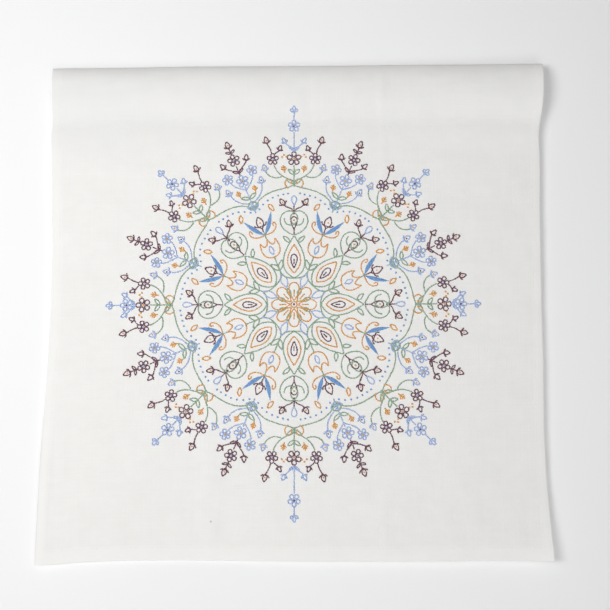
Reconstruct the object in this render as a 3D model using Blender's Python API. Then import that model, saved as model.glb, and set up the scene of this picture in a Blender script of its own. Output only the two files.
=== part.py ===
"""Embroidered linen wall hanging, built as the one piece of cloth that it is.

The panel hangs down from a pocket that its own top makes: the cloth runs up the front, over the top,
down the back, and is sewn to the back of the panel, so a rod can be pushed through from side to side.
The side and bottom hems are the cloth's own edges turned to the back and sewn, so the sheet is thicker there.

Metres, +Z up, +X to the right as the front is seen, front facing -Y.
The origin is the middle of the inside of the pocket's top, where a rod would bear.
"""
import math

import bmesh
import bpy
import numpy as np


def table(columns, rows):
    """A small table as a dictionary from each column's name to its values."""
    return dict(zip(columns, np.array(rows).T))


# Cloth
SHEET = 0.0012              # thickness of the single cloth
HEM_EXTRA = 0.0008          # what the turned edge adds at the back
SIDE_HEM = 0.0095           # width of the left and right hems
BOTTOM_HEM = 0.0135         # height of the bottom hem
HEM_STEP = 0.0010           # width over which a hem's edge steps down

# Hanging shape
DROP = 0.5000               # top fold to bottom edge
POCKET = 0.0660             # top fold to the seam that closes the pocket
FLAP_HEM = 0.0080           # height of the flap's turned end, sewn below the seam
SEAM_FORWARD = 0.0042       # the panel hangs this far in front of the top fold
LIFT = 0.0060               # how much further the pocket's right end stands off the wall than the rest
ORIGIN_ABOVE = SHEET / 2    # the rod bears on the inside of the top fold

# Number of steps of the mesh
PANEL_ROWS = 26
BOTTOM_HEM_ROWS = 2         # rows of points on the bottom hem
MIDDLE_COLUMNS = 30
FOLD_SIDES = 1.5            # points beside an old fold line, in half widths from it
CLEARANCE = 0.0035          # least distance between a crease's columns or rows and the even ones

# The cloth's way through the pocket, from just above the seam up the front, over the top fold and down the
# back: distance down from the fold, distance in front of it, and how much of the right end's lift it takes
POCKET_PATH = table(("down", "forward", "lift"), [
    (0.0600, 0.00445, 0.62),
    (0.0530, 0.00555, 0.78),
    (0.0450, 0.00735, 0.93),
    (0.0370, 0.00885, 1.00),
    (0.0300, 0.00960, 1.00),
    (0.0235, 0.00965, 1.00),
    (0.0172, 0.00900, 1.00),
    (0.0120, 0.00775, 1.00),
    (0.0078, 0.00615, 1.00),
    (0.0046, 0.00455, 1.00),
    (0.0023, 0.00310, 1.00),
    (0.0008, 0.00165, 1.00),
    (0.0000, 0.00005, 1.00),
    (0.0008, -0.00110, 0.96),
    (0.0030, -0.00165, 0.88),
    (0.0066, -0.00175, 0.74),
    (0.0125, -0.00160, 0.54),
    (0.0210, -0.00125, 0.35),
    (0.0305, -0.00080, 0.25),
    (0.0400, -0.00015, 0.25),
    (0.0490, 0.00065, 0.35),
    (0.0560, 0.00150, 0.46),
])
SEAM_LIFT = 0.52            # share of the lift at the seam, which fades out on the panel below it
LIFT_FADE = 0.032

# Fullness of the pocket and lift of its top off the wall along the width, as shares
FULLNESS = table(("across", "full", "lift"), [
    (-0.250, 1.15, 0.12),
    (-0.150, 1.10, 0.00),
    (-0.080, 1.00, 0.00),
    (0.000, 0.95, 0.00),
    (0.050, 0.92, 0.08),
    (0.100, 0.90, 0.25),
    (0.150, 0.90, 0.48),
    (0.200, 0.90, 0.72),
    (0.250, 0.90, 1.00),
])

# Outline of the hung cloth: distance down from the top fold, and from the centre line to each edge
OUTLINE = table(("down", "left", "right"), [
    (0.0000, 0.2526, 0.2570),
    (0.0225, 0.2508, 0.2556),
    (0.0520, 0.2499, 0.2538),
    (0.0640, 0.2503, 0.2520),
    (0.0710, 0.2508, 0.2508),
    (0.0950, 0.2497, 0.2514),
    (0.1450, 0.2474, 0.2496),
    (0.1950, 0.2453, 0.2481),
    (0.2550, 0.2449, 0.2468),
    (0.3150, 0.2458, 0.2460),
    (0.3600, 0.2477, 0.2445),
    (0.4050, 0.2493, 0.2443),
    (0.4450, 0.2498, 0.2452),
    (0.5000, 0.2505, 0.2468),
])

# Rise of the top fold and of the bottom edge along the width, because neither is quite straight
EDGES = table(("across", "top_rise", "bottom_rise"), [
    (-0.250, -0.0049, -0.0057),
    (-0.190, -0.0037, -0.0022),
    (-0.120, -0.0018, -0.0018),
    (-0.040, -0.0007, -0.0026),
    (0.040, 0.0003, -0.0032),
    (0.120, 0.0012, -0.0032),
    (0.190, 0.0013, -0.0029),
    (0.250, 0.0016, -0.0032),
])

# Old fold lines from top to bottom, pressed in when the cloth lay folded, which stand up as soft ridges:
# place across, highest and lowest end as distances down, half width, and height towards the front
CREASES = table(("across", "start", "end", "half_width", "height"), [
    (-0.0840, 0.2520, 0.5320, 0.0100, 0.0008),
    (0.0055, 0.4220, 0.5320, 0.0080, 0.0003),
    (0.0888, -0.0500, 0.2520, 0.0045, 0.0004),
    (0.0840, 0.3820, 0.5320, 0.0055, 0.0003),
])
CREASE_FADE = 0.050         # length over which a crease comes and goes
HALF_FOLD_DOWN = 0.2512     # the fold that ran from side to side is a shallow trough
HALF_FOLD_DEPTH = 0.0004
HALF_FOLD_HALF_WIDTH = 0.0070

# How far the panel lies back towards the wall, at its left, by the distance down
SETTLE = table(("down", "back"), [
    (0.0700, 0.0000),
    (0.1600, 0.0013),
    (0.2500, 0.0024),
    (0.4000, 0.0032),
    (0.5000, 0.0038),
])
SETTLE_FROM = -0.120        # place across up to which it settles in full
SETTLE_TO = 0.210           # place across from which it doesn't settle

# Corners that stand off the wall: side (-1 left, 1 right), reach across, reach up, distance forward
CORNERS = table(("side", "reach", "height", "forward"), [
    (-1.0, 0.110, 0.160, 0.0010),
    (1.0, 0.120, 0.090, 0.0070),
])

# Long shallow waves of the hung cloth: wavelength across, phase, height of the wave at the bottom edge
WAVES = table(("length", "phase", "height"), [
    (0.310, 0.40, 0.0009),
    (0.173, 2.10, 0.0005),
])

LINEN_COLOUR = (0.80, 0.79, 0.77, 1.0)
LINEN_ROUGHNESS = 0.92


def smooth_table(at, places, values):
    """Read a table at any place, on a smooth curve through its rows (Catmull-Rom slopes)."""
    slopes = np.gradient(values, places)
    at = np.clip(at, places[0], places[-1])
    row = np.clip(np.searchsorted(places, at, side="right") - 1, 0, len(places) - 2)
    span = places[row + 1] - places[row]
    t = (at - places[row]) / span
    start = (2 * t**3 - 3 * t**2 + 1) * values[row] + (t**3 - 2 * t**2 + t) * span * slopes[row]
    end = (3 * t**2 - 2 * t**3) * values[row + 1] + (t**3 - t**2) * span * slopes[row + 1]
    return start + end


def smooth_step(value):
    """Ease from 0 to 1 as value goes from 0 to 1."""
    value = np.clip(value, 0.0, 1.0)
    return value * value * (3.0 - 2.0 * value)


def with_creases(even, places, half_widths):
    """Evenly spaced places, joined by three on each crease, without the even ones that would crowd them."""
    beside = places[:, None] + half_widths[:, None] * np.array([-FOLD_SIDES, 0.0, FOLD_SIDES])
    own = [beside[0]]
    for three in beside[1:]:
        if np.abs(three[:, None] - np.concatenate(own)).min() > CLEARANCE:
            own.append(three)
    own = np.concatenate(own)
    kept = even[np.abs(even[:, None] - own).min(axis=1) > CLEARANCE]
    return np.sort(np.concatenate([kept, own]))


def column_places(down):
    """Place across of every column of points in each row: rows by columns.

    The hem lines keep their distance from the edges, and the columns between them share out the rest.
    """
    left = -smooth_table(down, OUTLINE["down"], OUTLINE["left"])
    right = smooth_table(down, OUTLINE["down"], OUTLINE["right"])
    middle_left = left + SIDE_HEM + HEM_STEP
    middle_right = right - SIDE_HEM - HEM_STEP
    even = np.linspace(middle_left.mean(), middle_right.mean(), MIDDLE_COLUMNS)
    places = with_creases(even, CREASES["across"], CREASES["half_width"])
    share = (places - places[0]) / (places[-1] - places[0])
    middle = middle_left[:, None] * (1.0 - share) + middle_right[:, None] * share
    left_hem = np.stack([left, left + SIDE_HEM / 2, left + SIDE_HEM], axis=1)
    right_hem = np.stack([right - SIDE_HEM, right - SIDE_HEM / 2, right], axis=1)
    return np.concatenate([left_hem, middle, right_hem], axis=1)


def relief(across, down):
    """Distance of the cloth in front of its plain shape, from where it settles, its waves, corners and creases."""
    hang = np.clip((down - POCKET) / (DROP - POCKET), 0.0, 1.0)
    settled = smooth_step((SETTLE_TO - across) / (SETTLE_TO - SETTLE_FROM))
    forward = -smooth_table(down, SETTLE["down"], SETTLE["back"]) * settled
    for length, phase, height in zip(*WAVES.values()):
        forward = forward + height * hang * np.sin(2.0 * math.pi * across / length + phase)
    for side, reach, height, out in zip(*CORNERS.values()):
        over = np.clip((side * across - (OUTLINE["left"][-1] - reach)) / reach, 0.0, 1.0)
        under = np.clip((down - (DROP - height)) / height, 0.0, 1.0)
        forward = forward + out * over**2 * under**2
    for place, start, end, half_width, height in zip(*CREASES.values()):
        ridge = np.exp(-(((across - place) / half_width) ** 2))
        shown = smooth_step((down - start) / CREASE_FADE) * smooth_step((end - down) / CREASE_FADE)
        forward = forward + height * ridge * shown
    trough = np.exp(-(((down - HALF_FOLD_DOWN) / HALF_FOLD_HALF_WIDTH) ** 2))
    return forward - HALF_FOLD_DEPTH * trough


def panel_downs():
    """Distances down of the panel's rows, from the bottom edge up to the pocket's seam."""
    hem = np.array([0.0, BOTTOM_HEM, BOTTOM_HEM + HEM_STEP])
    even = np.linspace(POCKET + FLAP_HEM, DROP - hem[-1], PANEL_ROWS)
    rows = with_creases(even, np.array([HALF_FOLD_DOWN]), np.array([HALF_FOLD_HALF_WIDTH]))
    return np.concatenate([DROP - hem, rows[-2::-1], [POCKET]])


def middle_surface():
    """Points halfway through the cloth, as rows by columns by three, from the bottom edge to the flap's end.

    The straight line from the top fold to the seam is the base: the pocket's fullness scales what stands out
    from it, and the lift of the right end is added.
    """
    panel = panel_downs()
    down = np.concatenate([panel, POCKET_PATH["down"]])
    base = SEAM_FORWARD * np.minimum(down / POCKET, 1.0)
    bulge = np.concatenate([np.zeros(len(panel)), POCKET_PATH["forward"] - base[len(panel):]])
    lift = SEAM_LIFT * (1.0 - smooth_step((panel - POCKET) / LIFT_FADE))
    lift = LIFT * np.concatenate([lift, POCKET_PATH["lift"]])
    across = column_places(down)
    down = np.repeat(down[:, None], across.shape[1], axis=1)
    full = smooth_table(across, FULLNESS["across"], FULLNESS["full"])
    lifted = smooth_table(across, FULLNESS["across"], FULLNESS["lift"])
    forward = base[:, None] + bulge[:, None] * full + lift[:, None] * lifted
    forward = forward + relief(across, down)
    top_rise = smooth_table(across, EDGES["across"], EDGES["top_rise"])
    bottom_rise = smooth_table(across, EDGES["across"], EDGES["bottom_rise"])
    share = down / DROP
    rise = top_rise * (1.0 - share) + bottom_rise * share
    return np.stack([across, -forward, ORIGIN_ABOVE - down + rise], axis=2)


def thickness_at(across):
    """Thickness of the cloth at every point, with the side and bottom hems thicker than the rest."""
    edge = np.minimum(across - across[:, :1], across[:, -1:] - across)
    hem = 1.0 - smooth_step((edge - SIDE_HEM) / HEM_STEP)
    hem[:BOTTOM_HEM_ROWS] = 1.0
    return SHEET + HEM_EXTRA * hem


def skins():
    """Front and back faces of the cloth: the front lies half a sheet out, and the back makes up the thickness."""
    middle = middle_surface()
    along = np.gradient(middle[:, :, 1:], axis=0)
    along /= np.linalg.norm(along, axis=2, keepdims=True)
    out = np.zeros_like(middle)
    out[:, :, 1] = -along[:, :, 1]
    out[:, :, 2] = along[:, :, 0]
    front = middle + out * SHEET / 2
    thick = thickness_at(middle[:, :, 0])[:, :, None]
    return front, front - out * thick


def strip(faces, first, second):
    """Add the four-sided faces between two rows of vertices."""
    for k in range(len(first) - 1):
        faces.append((first[k], first[k + 1], second[k + 1], second[k]))


def build_cloth():
    """Closed mesh of the cloth, with the flap's end grown into the back of the panel at the seam."""
    front, back = skins()
    row_count, column_count = front.shape[:2]
    seam = len(panel_downs()) - 1
    mesh = bmesh.new()
    front_verts = [[mesh.verts.new(point) for point in row] for row in front]
    back_verts = [[mesh.verts.new(point) for point in row] for row in back]

    faces = []
    for row in range(row_count - 1):
        strip(faces, front_verts[row], front_verts[row + 1])
    strip(faces, front_verts[-1], back_verts[seam - 1])
    for row in range(seam - 1):
        strip(faces, back_verts[row], back_verts[row + 1])
    strip(faces, front_verts[0], back_verts[0])
    for row in range(seam, row_count - 1):
        strip(faces, back_verts[row], back_verts[row + 1])
    strip(faces, back_verts[-1], back_verts[seam])
    for end in (0, column_count - 1):
        front_end = [row[end] for row in front_verts]
        back_end = [row[end] for row in back_verts]
        strip(faces, front_end, back_end)
        faces.append((front_end[-1], back_end[seam - 1], back_end[seam], back_end[-1]))
    for face in faces:
        mesh.faces.new(face)
    bmesh.ops.recalc_face_normals(mesh, faces=mesh.faces)

    data = bpy.data.meshes.new("hanging_cloth")
    mesh.to_mesh(data)
    mesh.free()
    return data


def linen():
    """Undyed bleached linen, matte."""
    material = bpy.data.materials.new("linen")
    material.use_nodes = True
    shader = material.node_tree.nodes["Principled BSDF"]
    shader.inputs["Base Color"].default_value = LINEN_COLOUR
    shader.inputs["Roughness"].default_value = LINEN_ROUGHNESS
    shader.inputs["Metallic"].default_value = 0.0
    return material


def main():
    """Clear the scene and build the hanging."""
    for old in list(bpy.data.objects):
        bpy.data.objects.remove(old, do_unlink=True)
    data = build_cloth()
    data.materials.append(linen())
    data.shade_smooth()
    data.set_sharp_from_angle(angle=math.radians(50.0))
    bpy.context.scene.collection.objects.link(bpy.data.objects.new("hanging_cloth", data))


main()
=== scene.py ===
"""Looks of the embroidered linen wall hanging: cloth, hems, stitches, and the plain set it is shown in.

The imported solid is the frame. The cloth here hangs in the solid's shape, as thin as the real linen, and every
stitch is laid on that surface. Metres, +Z up, the embroidered front facing -Y.
"""
import logging
import math
from dataclasses import dataclass, field
from enum import Enum

import bpy
import numpy as np
from mathutils import Matrix, Vector


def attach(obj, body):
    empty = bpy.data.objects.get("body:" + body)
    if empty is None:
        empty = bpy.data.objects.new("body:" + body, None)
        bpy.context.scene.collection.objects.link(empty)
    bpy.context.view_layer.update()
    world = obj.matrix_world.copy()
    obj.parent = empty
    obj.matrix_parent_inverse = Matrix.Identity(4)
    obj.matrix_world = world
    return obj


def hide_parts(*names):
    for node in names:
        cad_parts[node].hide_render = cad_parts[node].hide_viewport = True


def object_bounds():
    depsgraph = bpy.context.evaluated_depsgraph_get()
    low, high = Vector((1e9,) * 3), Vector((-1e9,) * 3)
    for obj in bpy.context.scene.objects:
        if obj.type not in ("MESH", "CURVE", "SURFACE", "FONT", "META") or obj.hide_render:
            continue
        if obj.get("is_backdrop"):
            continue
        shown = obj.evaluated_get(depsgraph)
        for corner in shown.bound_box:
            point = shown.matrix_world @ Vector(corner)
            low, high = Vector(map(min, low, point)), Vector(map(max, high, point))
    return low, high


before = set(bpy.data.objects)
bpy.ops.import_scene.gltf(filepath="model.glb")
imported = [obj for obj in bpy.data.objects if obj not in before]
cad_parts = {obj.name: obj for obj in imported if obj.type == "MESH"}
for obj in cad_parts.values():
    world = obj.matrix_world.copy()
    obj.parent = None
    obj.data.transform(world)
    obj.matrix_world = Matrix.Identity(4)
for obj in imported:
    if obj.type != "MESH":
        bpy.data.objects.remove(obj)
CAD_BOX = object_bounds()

LOG = logging.getLogger("hanging")
NODE = "hanging_cloth"
MM = 0.001
TINY = 1e-7
FULL_TURN = 2.0 * math.pi
Array = np.ndarray
Pair = tuple[float, float]
Triple = tuple[float, float, float]
Colour = tuple[float, float, float, float]


def smooth_table(at: Array, places: Array, values: Array) -> Array:
    """Read a table at any place, on Hermite cubics through its rows, whose slopes the rows beside them give.

    Args:
        at: Places to read.
        places: The table's places, rising.
        values: The table's values.

    Returns:
        One value for each place.
    """
    slopes = np.gradient(values, places)
    at = np.clip(at, places[0], places[-1])
    row = np.clip(np.searchsorted(places, at, side="right") - 1, 0, len(places) - 2)
    span = places[row + 1] - places[row]
    t = (at - places[row]) / span
    start = (2 * t**3 - 3 * t**2 + 1) * values[row] + (t**3 - 2 * t**2 + t) * span * slopes[row]
    end = (3 * t**2 - 2 * t**3) * values[row + 1] + (t**3 - t**2) * span * slopes[row + 1]
    return start + end


class Table:
    """Small table of numbers. Its columns are read by name, or at any place along the first of them."""

    def __init__(self, columns: str, *rows: tuple[float, ...]) -> None:
        """Take the columns' names, with spaces between them, and the rows."""
        self.rows = rows
        self.columns = dict(zip(columns.split(), np.array(rows).T))

    def __getitem__(self, name: str) -> Array:
        """One column."""
        return self.columns[name]

    def at(self, places: Array, name: str) -> Array:
        """A column read smoothly at places along the first one."""
        return smooth_table(places, next(iter(self.columns.values())), self.columns[name])


def smooth_step(value: Array) -> Array:
    """Ease from 0 to 1 as value goes from 0 to 1."""
    value = np.clip(value, 0.0, 1.0)
    return value * value * (3.0 - 2.0 * value)


def bell(place: Array, middle: float, half_width: float) -> Array:
    """Bell curve, e to the power of minus a square: 1 at its middle, and small beyond two half widths."""
    return np.exp(-(((place - middle) / half_width) ** 2))


def running_length(points: Array) -> Array:
    """Length along a row of points, from the first of them to each."""
    return np.concatenate([[0.0], np.cumsum(np.linalg.norm(np.diff(points, axis=0), axis=1))])


def read_along(points: Array, lengths: Array, at: Array) -> Array:
    """Points at some lengths along a row of points, on the straight lines between them."""
    return np.stack([np.interp(at, lengths, column) for column in points.T], axis=1)


@dataclass
class Shell:
    """Closed surface as arrays: points N by 3, groups of faces, and the points' places in the UV map."""

    points: Array
    faces: list[Array]
    flat: Array

    @staticmethod
    def joined(shells: list["Shell"]) -> "Shell":
        """Join several surfaces.

        Args:
            shells: The surfaces.

        Returns:
            One surface with all their points and faces, in their order.
        """
        first = np.cumsum([0] + [len(shell.points) for shell in shells[:-1]])
        faces = [group + start for shell, start in zip(shells, first) for group in shell.faces]
        points = np.concatenate([shell.points for shell in shells])
        return Shell(points, faces, np.concatenate([shell.flat for shell in shells]))

    @staticmethod
    def bodies(points: Array, along: Array, sides: int, flip: bool = False) -> "Shell":
        """Close many small bodies of one kind, each of them rings of points between two tips.

        Args:
            points: Bodies by points by 3. A body's points are one tip, ring after ring, and the other tip.
            along: Bodies by points, the first flat place of each. The second is the share of the way round.
            sides: Points in a ring.
            flip: Turn the faces over, for rings that run the other way round.

        Returns:
            All the bodies as one surface.
        """
        count, size = along.shape
        rings, last = (size - 2) // sides, size - 1
        here = np.arange(sides)
        after = (here + 1) % sides
        belt = 1 + np.stack([after, here, here + sides, after + sides], axis=1)
        belts = np.concatenate([belt + k * sides for k in range(rings - 1)])
        foot = np.stack([1 + here, 1 + after, 0 * here], axis=1)
        head = np.stack([last - sides + after, last - sides + here, 0 * here + last], axis=1)
        order = slice(None, None, -1 if flip else 1)
        start = (np.arange(count) * size)[:, None, None]
        groups = (belts, np.concatenate([foot, head]))
        faces = [(start + group[:, order]).reshape(-1, group.shape[1]) for group in groups]
        round_it = np.concatenate([[0.5], np.tile(here / sides, rings), [0.5]])
        flat = np.stack([along, np.tile(round_it, (count, 1))], axis=2)
        return Shell(points.reshape(-1, 3), faces, flat.reshape(-1, 2))


def mesh_object(name: str, shell: Shell) -> bpy.types.Object:
    """Make an object at the origin from a surface.

    Args:
        name: Name of the object and its mesh.
        shell: The surface, whose flat places go to a UV map named Flat.

    Returns:
        The object, shaded smooth and in the scene.
    """
    corners = np.concatenate([group.ravel() for group in shell.faces])
    sizes = np.concatenate([np.full(len(group), group.shape[1]) for group in shell.faces])
    mesh = bpy.data.meshes.new(name)
    mesh.vertices.add(len(shell.points))
    mesh.vertices.foreach_set("co", shell.points.astype(np.float32).ravel())
    mesh.loops.add(len(corners))
    mesh.loops.foreach_set("vertex_index", corners.astype(np.int32))
    mesh.polygons.add(len(sizes))
    mesh.polygons.foreach_set("loop_start", (np.cumsum(sizes) - sizes).astype(np.int32))
    layer = mesh.uv_layers.new(name="Flat")
    layer.data.foreach_set("uv", shell.flat[corners].astype(np.float32).ravel())
    mesh.update(calc_edges=True)
    mesh.validate()
    mesh.shade_smooth()
    made = bpy.data.objects.new(name, mesh)
    bpy.context.scene.collection.objects.link(made)
    return made


@dataclass(frozen=True)
class EdgeBend:
    """Strip along an edge that bends back to the wall, or forward where back is below 0."""

    reach: float
    back: float
    power: float = 2.0

    def at(self, distance: Array) -> Array:
        """Distance back: the full one, times a power of the share of the reach that is left."""
        return self.back * np.clip(1.0 - distance / self.reach, 0.0, 1.0) ** self.power


@dataclass(frozen=True)
class HungCloth:
    """Shape in which the cloth hangs, in the solid's sizes. Places are across, and down from the fold.

    The way is the pocket's section from the seam on the front, up over the fold and down behind. Its lift is
    the share that each row takes of the right end's lift, and fullness says how much of both shows across the
    cloth. Creases are old fold lines that run down the cloth. Below low_start the left edge lies nearly flat.
    """

    drop: float = 0.5000
    pocket: float = 0.0660
    seam_forward: float = 0.0042
    lift: float = 0.0060
    seam_lift: float = 0.52
    lift_fade: float = 0.032
    fold_above_origin: float = 0.0006
    side_hem: float = 0.0095
    bottom_hem: float = 0.0135
    linen: float = 0.00045
    hem_extra: float = 0.00060
    crease_fade: float = 0.050
    half_fold: float = 0.2512
    half_fold_depth: float = 0.0003
    half_fold_width: float = 0.0065
    left_bend: EdgeBend = EdgeBend(0.015, 0.0011)
    right_bend: EdgeBend = EdgeBend(0.004, 0.0004)
    foot_bend: EdgeBend = EdgeBend(0.012, 0.0012, 1.5)
    low_start: float = 0.350
    low_fade: float = 0.100
    low_easing: float = 0.4
    hem_ridge: Triple = (0.0065, 0.0055, 0.0009)
    corner_curl: EdgeBend = EdgeBend(0.024, -0.0026, 1.5)
    corner_curl_height: float = 0.085
    pocket_curl: EdgeBend = EdgeBend(0.016, -0.0013)
    pocket_curl_full: float = 0.4
    pocket_curl_fade: float = 0.6
    sway: float = 1.7
    sway_rate: float = 9.0
    normal_step: float = 0.0004
    pocket_samples: int = 240
    way: Table = Table(
        "down forward lift",
        (0.0660, 0.00420, 0.52),
        (0.0600, 0.00445, 0.62),
        (0.0530, 0.00555, 0.78),
        (0.0450, 0.00735, 0.93),
        (0.0370, 0.00885, 1.00),
        (0.0300, 0.00960, 1.00),
        (0.0235, 0.00965, 1.00),
        (0.0172, 0.00900, 1.00),
        (0.0120, 0.00775, 1.00),
        (0.0078, 0.00615, 1.00),
        (0.0046, 0.00455, 1.00),
        (0.0023, 0.00310, 1.00),
        (0.0008, 0.00165, 1.00),
        (0.0000, 0.00005, 1.00),
        (0.0008, -0.00110, 0.96),
        (0.0030, -0.00165, 0.88),
        (0.0066, -0.00175, 0.74),
        (0.0125, -0.00160, 0.54),
        (0.0210, -0.00125, 0.35),
        (0.0305, -0.00080, 0.25),
        (0.0400, -0.00015, 0.25),
        (0.0490, 0.00065, 0.35),
        (0.0560, 0.00150, 0.46),
        (0.0615, 0.00265, 0.50),
        (0.0665, 0.00325, 0.52),
        (0.0705, 0.00330, 0.49),
        (0.0740, 0.00330, 0.44),
    )
    fullness: Table = Table(
        "across full lift",
        (-0.250, 1.15, 0.12),
        (-0.150, 1.10, 0.00),
        (-0.080, 1.00, 0.00),
        (0.000, 0.95, 0.00),
        (0.050, 0.92, 0.08),
        (0.100, 0.90, 0.25),
        (0.150, 0.90, 0.48),
        (0.200, 0.90, 0.72),
        (0.250, 0.90, 1.00),
    )
    outline: Table = Table(
        "down left right",
        (0.0000, 0.2526, 0.2570),
        (0.0225, 0.2508, 0.2556),
        (0.0520, 0.2499, 0.2538),
        (0.0640, 0.2503, 0.2520),
        (0.0710, 0.2508, 0.2508),
        (0.0950, 0.2497, 0.2514),
        (0.1450, 0.2474, 0.2496),
        (0.1950, 0.2453, 0.2481),
        (0.2550, 0.2449, 0.2468),
        (0.3150, 0.2458, 0.2460),
        (0.3600, 0.2477, 0.2445),
        (0.4050, 0.2493, 0.2443),
        (0.4450, 0.2498, 0.2452),
        (0.5000, 0.2505, 0.2468),
    )
    edge_rise: Table = Table(
        "across top bottom",
        (-0.250, -0.0049, -0.0057),
        (-0.190, -0.0037, -0.0022),
        (-0.120, -0.0018, -0.0018),
        (-0.040, -0.0007, -0.0026),
        (0.040, 0.0003, -0.0032),
        (0.120, 0.0012, -0.0032),
        (0.190, 0.0013, -0.0029),
        (0.250, 0.0016, -0.0032),
    )
    settle: Table = Table(
        "down back",
        (0.0700, 0.0000),
        (0.1600, 0.0013),
        (0.2500, 0.0024),
        (0.4000, 0.0032),
        (0.5000, 0.0038),
    )
    settle_span: Pair = (-0.120, 0.210)
    creases: Table = Table(
        "across start end half_width height",
        (-0.0840, 0.2520, 0.5320, 0.0100, 0.0007),
        (0.0055, 0.4220, 0.5320, 0.0080, 0.00025),
        (0.0888, -0.0500, 0.2520, 0.0042, 0.0003),
        (0.0840, 0.3820, 0.5320, 0.0050, 0.0002),
    )
    small_creases: Table = Table(
        "across start end half_width height",
        (0.0134, -0.0400, 0.1000, 0.0035, -0.00028),
    )
    corners: Table = Table(
        "side reach height forward",
        (-1.0, 0.110, 0.160, 0.0010),
        (1.0, 0.120, 0.090, 0.0070),
    )
    waves: Table = Table(
        "length phase height",
        (0.310, 0.40, 0.0009),
        (0.173, 2.10, 0.0005),
    )
    ripples: Table = Table(
        "length angle phase height",
        (0.061, 0.4, 0.3, 0.00014),
        (0.043, 1.9, 1.7, 0.00011),
        (0.029, 2.7, 4.1, 0.00007),
        (0.021, 1.2, 2.2, 0.00005),
        (0.014, 0.1, 5.0, 0.00003),
        (0.011, 1.5, 0.9, 0.00002),
    )

    def left(self, down: Array) -> Array:
        """Place across of the left edge."""
        return -self.outline.at(down, "left")

    def right(self, down: Array) -> Array:
        """Place across of the right edge."""
        return self.outline.at(down, "right")

    def rise(self, across: Array, down: Array) -> Array:
        """Height that the uneven top fold and bottom edge add, mixed by the share of the drop."""
        share = down / self.drop
        return self.edge_rise.at(across, "top") * (1.0 - share) + self.edge_rise.at(across, "bottom") * share

    def height(self, across: Array, down: Array) -> Array:
        """Height of the cloth."""
        return self.fold_above_origin - down + self.rise(across, down)

    def base(self, down: Array) -> Array:
        """Straight line from the top fold forward to the seam, and level below it."""
        return self.seam_forward * np.minimum(down / self.pocket, 1.0)

    def panel_lift(self, down: Array) -> Array:
        """Share of the lift that the panel takes: the seam's, which fades out below it."""
        return self.seam_lift * (1.0 - smooth_step((down - self.pocket) / self.lift_fade))

    def way_length(self) -> Array:
        """Length of the pocket's way from the seam on the front to each of its rows."""
        return running_length(np.stack([self.way["down"], self.way["forward"]], axis=1))

    def pocket_run(self, places: Array) -> tuple[Array, Array, Array]:
        """Read the pocket's way on a smooth curve through its rows.

        Args:
            places: Lengths along the way from the seam on the front.

        Returns:
            The distance down, the distance beyond the base, and the share of the lift.
        """
        length = self.way_length()
        down, forward, lift = (smooth_table(places, length, self.way[name]) for name in self.way.columns)
        return down, forward - self.base(down), lift

    def front_of_pocket(self, down: Array) -> tuple[Array, Array]:
        """Read the pocket's front layer by its distance down, from closely spaced samples.

        Args:
            down: Distance down.

        Returns:
            The distance beyond the base, none on the panel, and the share of the lift, there the panel's own.
        """
        fold = self.way_length()[np.argmin(self.way["down"])]
        places, bulges, lifts = self.pocket_run(np.linspace(fold, 0.0, self.pocket_samples))
        lift = np.where(down < self.pocket, np.interp(down, places, lifts), self.panel_lift(down))
        return np.interp(down, places, bulges), lift

    def creased(self, creases: Table, across: Array, down: Array) -> Array:
        """Add up ridges that run down the cloth, each a bell across it that fades out at both ends.

        Args:
            creases: A row for each ridge, or trough where its height is below 0.
            across: Place across.
            down: Distance down.

        Returns:
            Distance forward.
        """
        forward = np.zeros_like(across + down)
        for place, start, end, half_width, height in creases.rows:
            begun, to_go = down - start, end - down
            shown = smooth_step(begun / self.crease_fade) * smooth_step(to_go / self.crease_fade)
            forward = forward + height * shown * bell(across, place, half_width)
        return forward

    def relief(self, across: Array, down: Array) -> Array:
        """Find how far the solid's cloth stands in front of its plain shape.

        It settles back towards the wall at its left. To that come sine waves that grow towards the bottom,
        the corners as squares of the distance into them, and the old fold lines, less a bell-shaped trough
        for the one from side to side.

        Args:
            across: Place across.
            down: Distance down.

        Returns:
            Distance forward.
        """
        hang = np.clip((down - self.pocket) / (self.drop - self.pocket), 0.0, 1.0)
        start, end = self.settle_span
        settled = smooth_step((end - across) / (end - start))
        forward = -self.settle.at(down, "back") * settled
        for length, phase, height in self.waves.rows:
            forward = forward + height * hang * np.sin(FULL_TURN * across / length + phase)
        for side, reach, height, out in self.corners.rows:
            over = np.clip((side * across - (self.outline["left"][-1] - reach)) / reach, 0.0, 1.0)
            under = np.clip((down - (self.drop - height)) / height, 0.0, 1.0)
            forward = forward + out * over**2 * under**2
        forward = forward + self.creased(self.creases, across, down)
        return forward - self.half_fold_depth * bell(down, self.half_fold, self.half_fold_width)

    def fine_relief(self, across: Array, down: Array) -> Array:
        """Find what the thin cloth adds to the solid's shape.

        Crossed sine waves, which sway along their crests, make the slight unevenness of washed linen. One
        small trough more runs down the pocket, and the left hem is a bell-shaped ridge near the bottom.

        Args:
            across: Place across.
            down: Distance down.

        Returns:
            Distance forward.
        """
        forward = self.creased(self.small_creases, across, down)
        for length, angle, phase, height in self.ripples.rows:
            along = across * math.cos(angle) + down * math.sin(angle)
            beside = down * math.cos(angle) - across * math.sin(angle)
            wave = FULL_TURN * along / length + phase + self.sway * np.sin(self.sway_rate * beside)
            forward = forward + height * np.sin(wave)
        low = smooth_step((down - self.low_start) / self.low_fade)
        place, half_width, height = self.hem_ridge
        return forward + height * low * bell(across - self.left(down), place, half_width)

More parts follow.
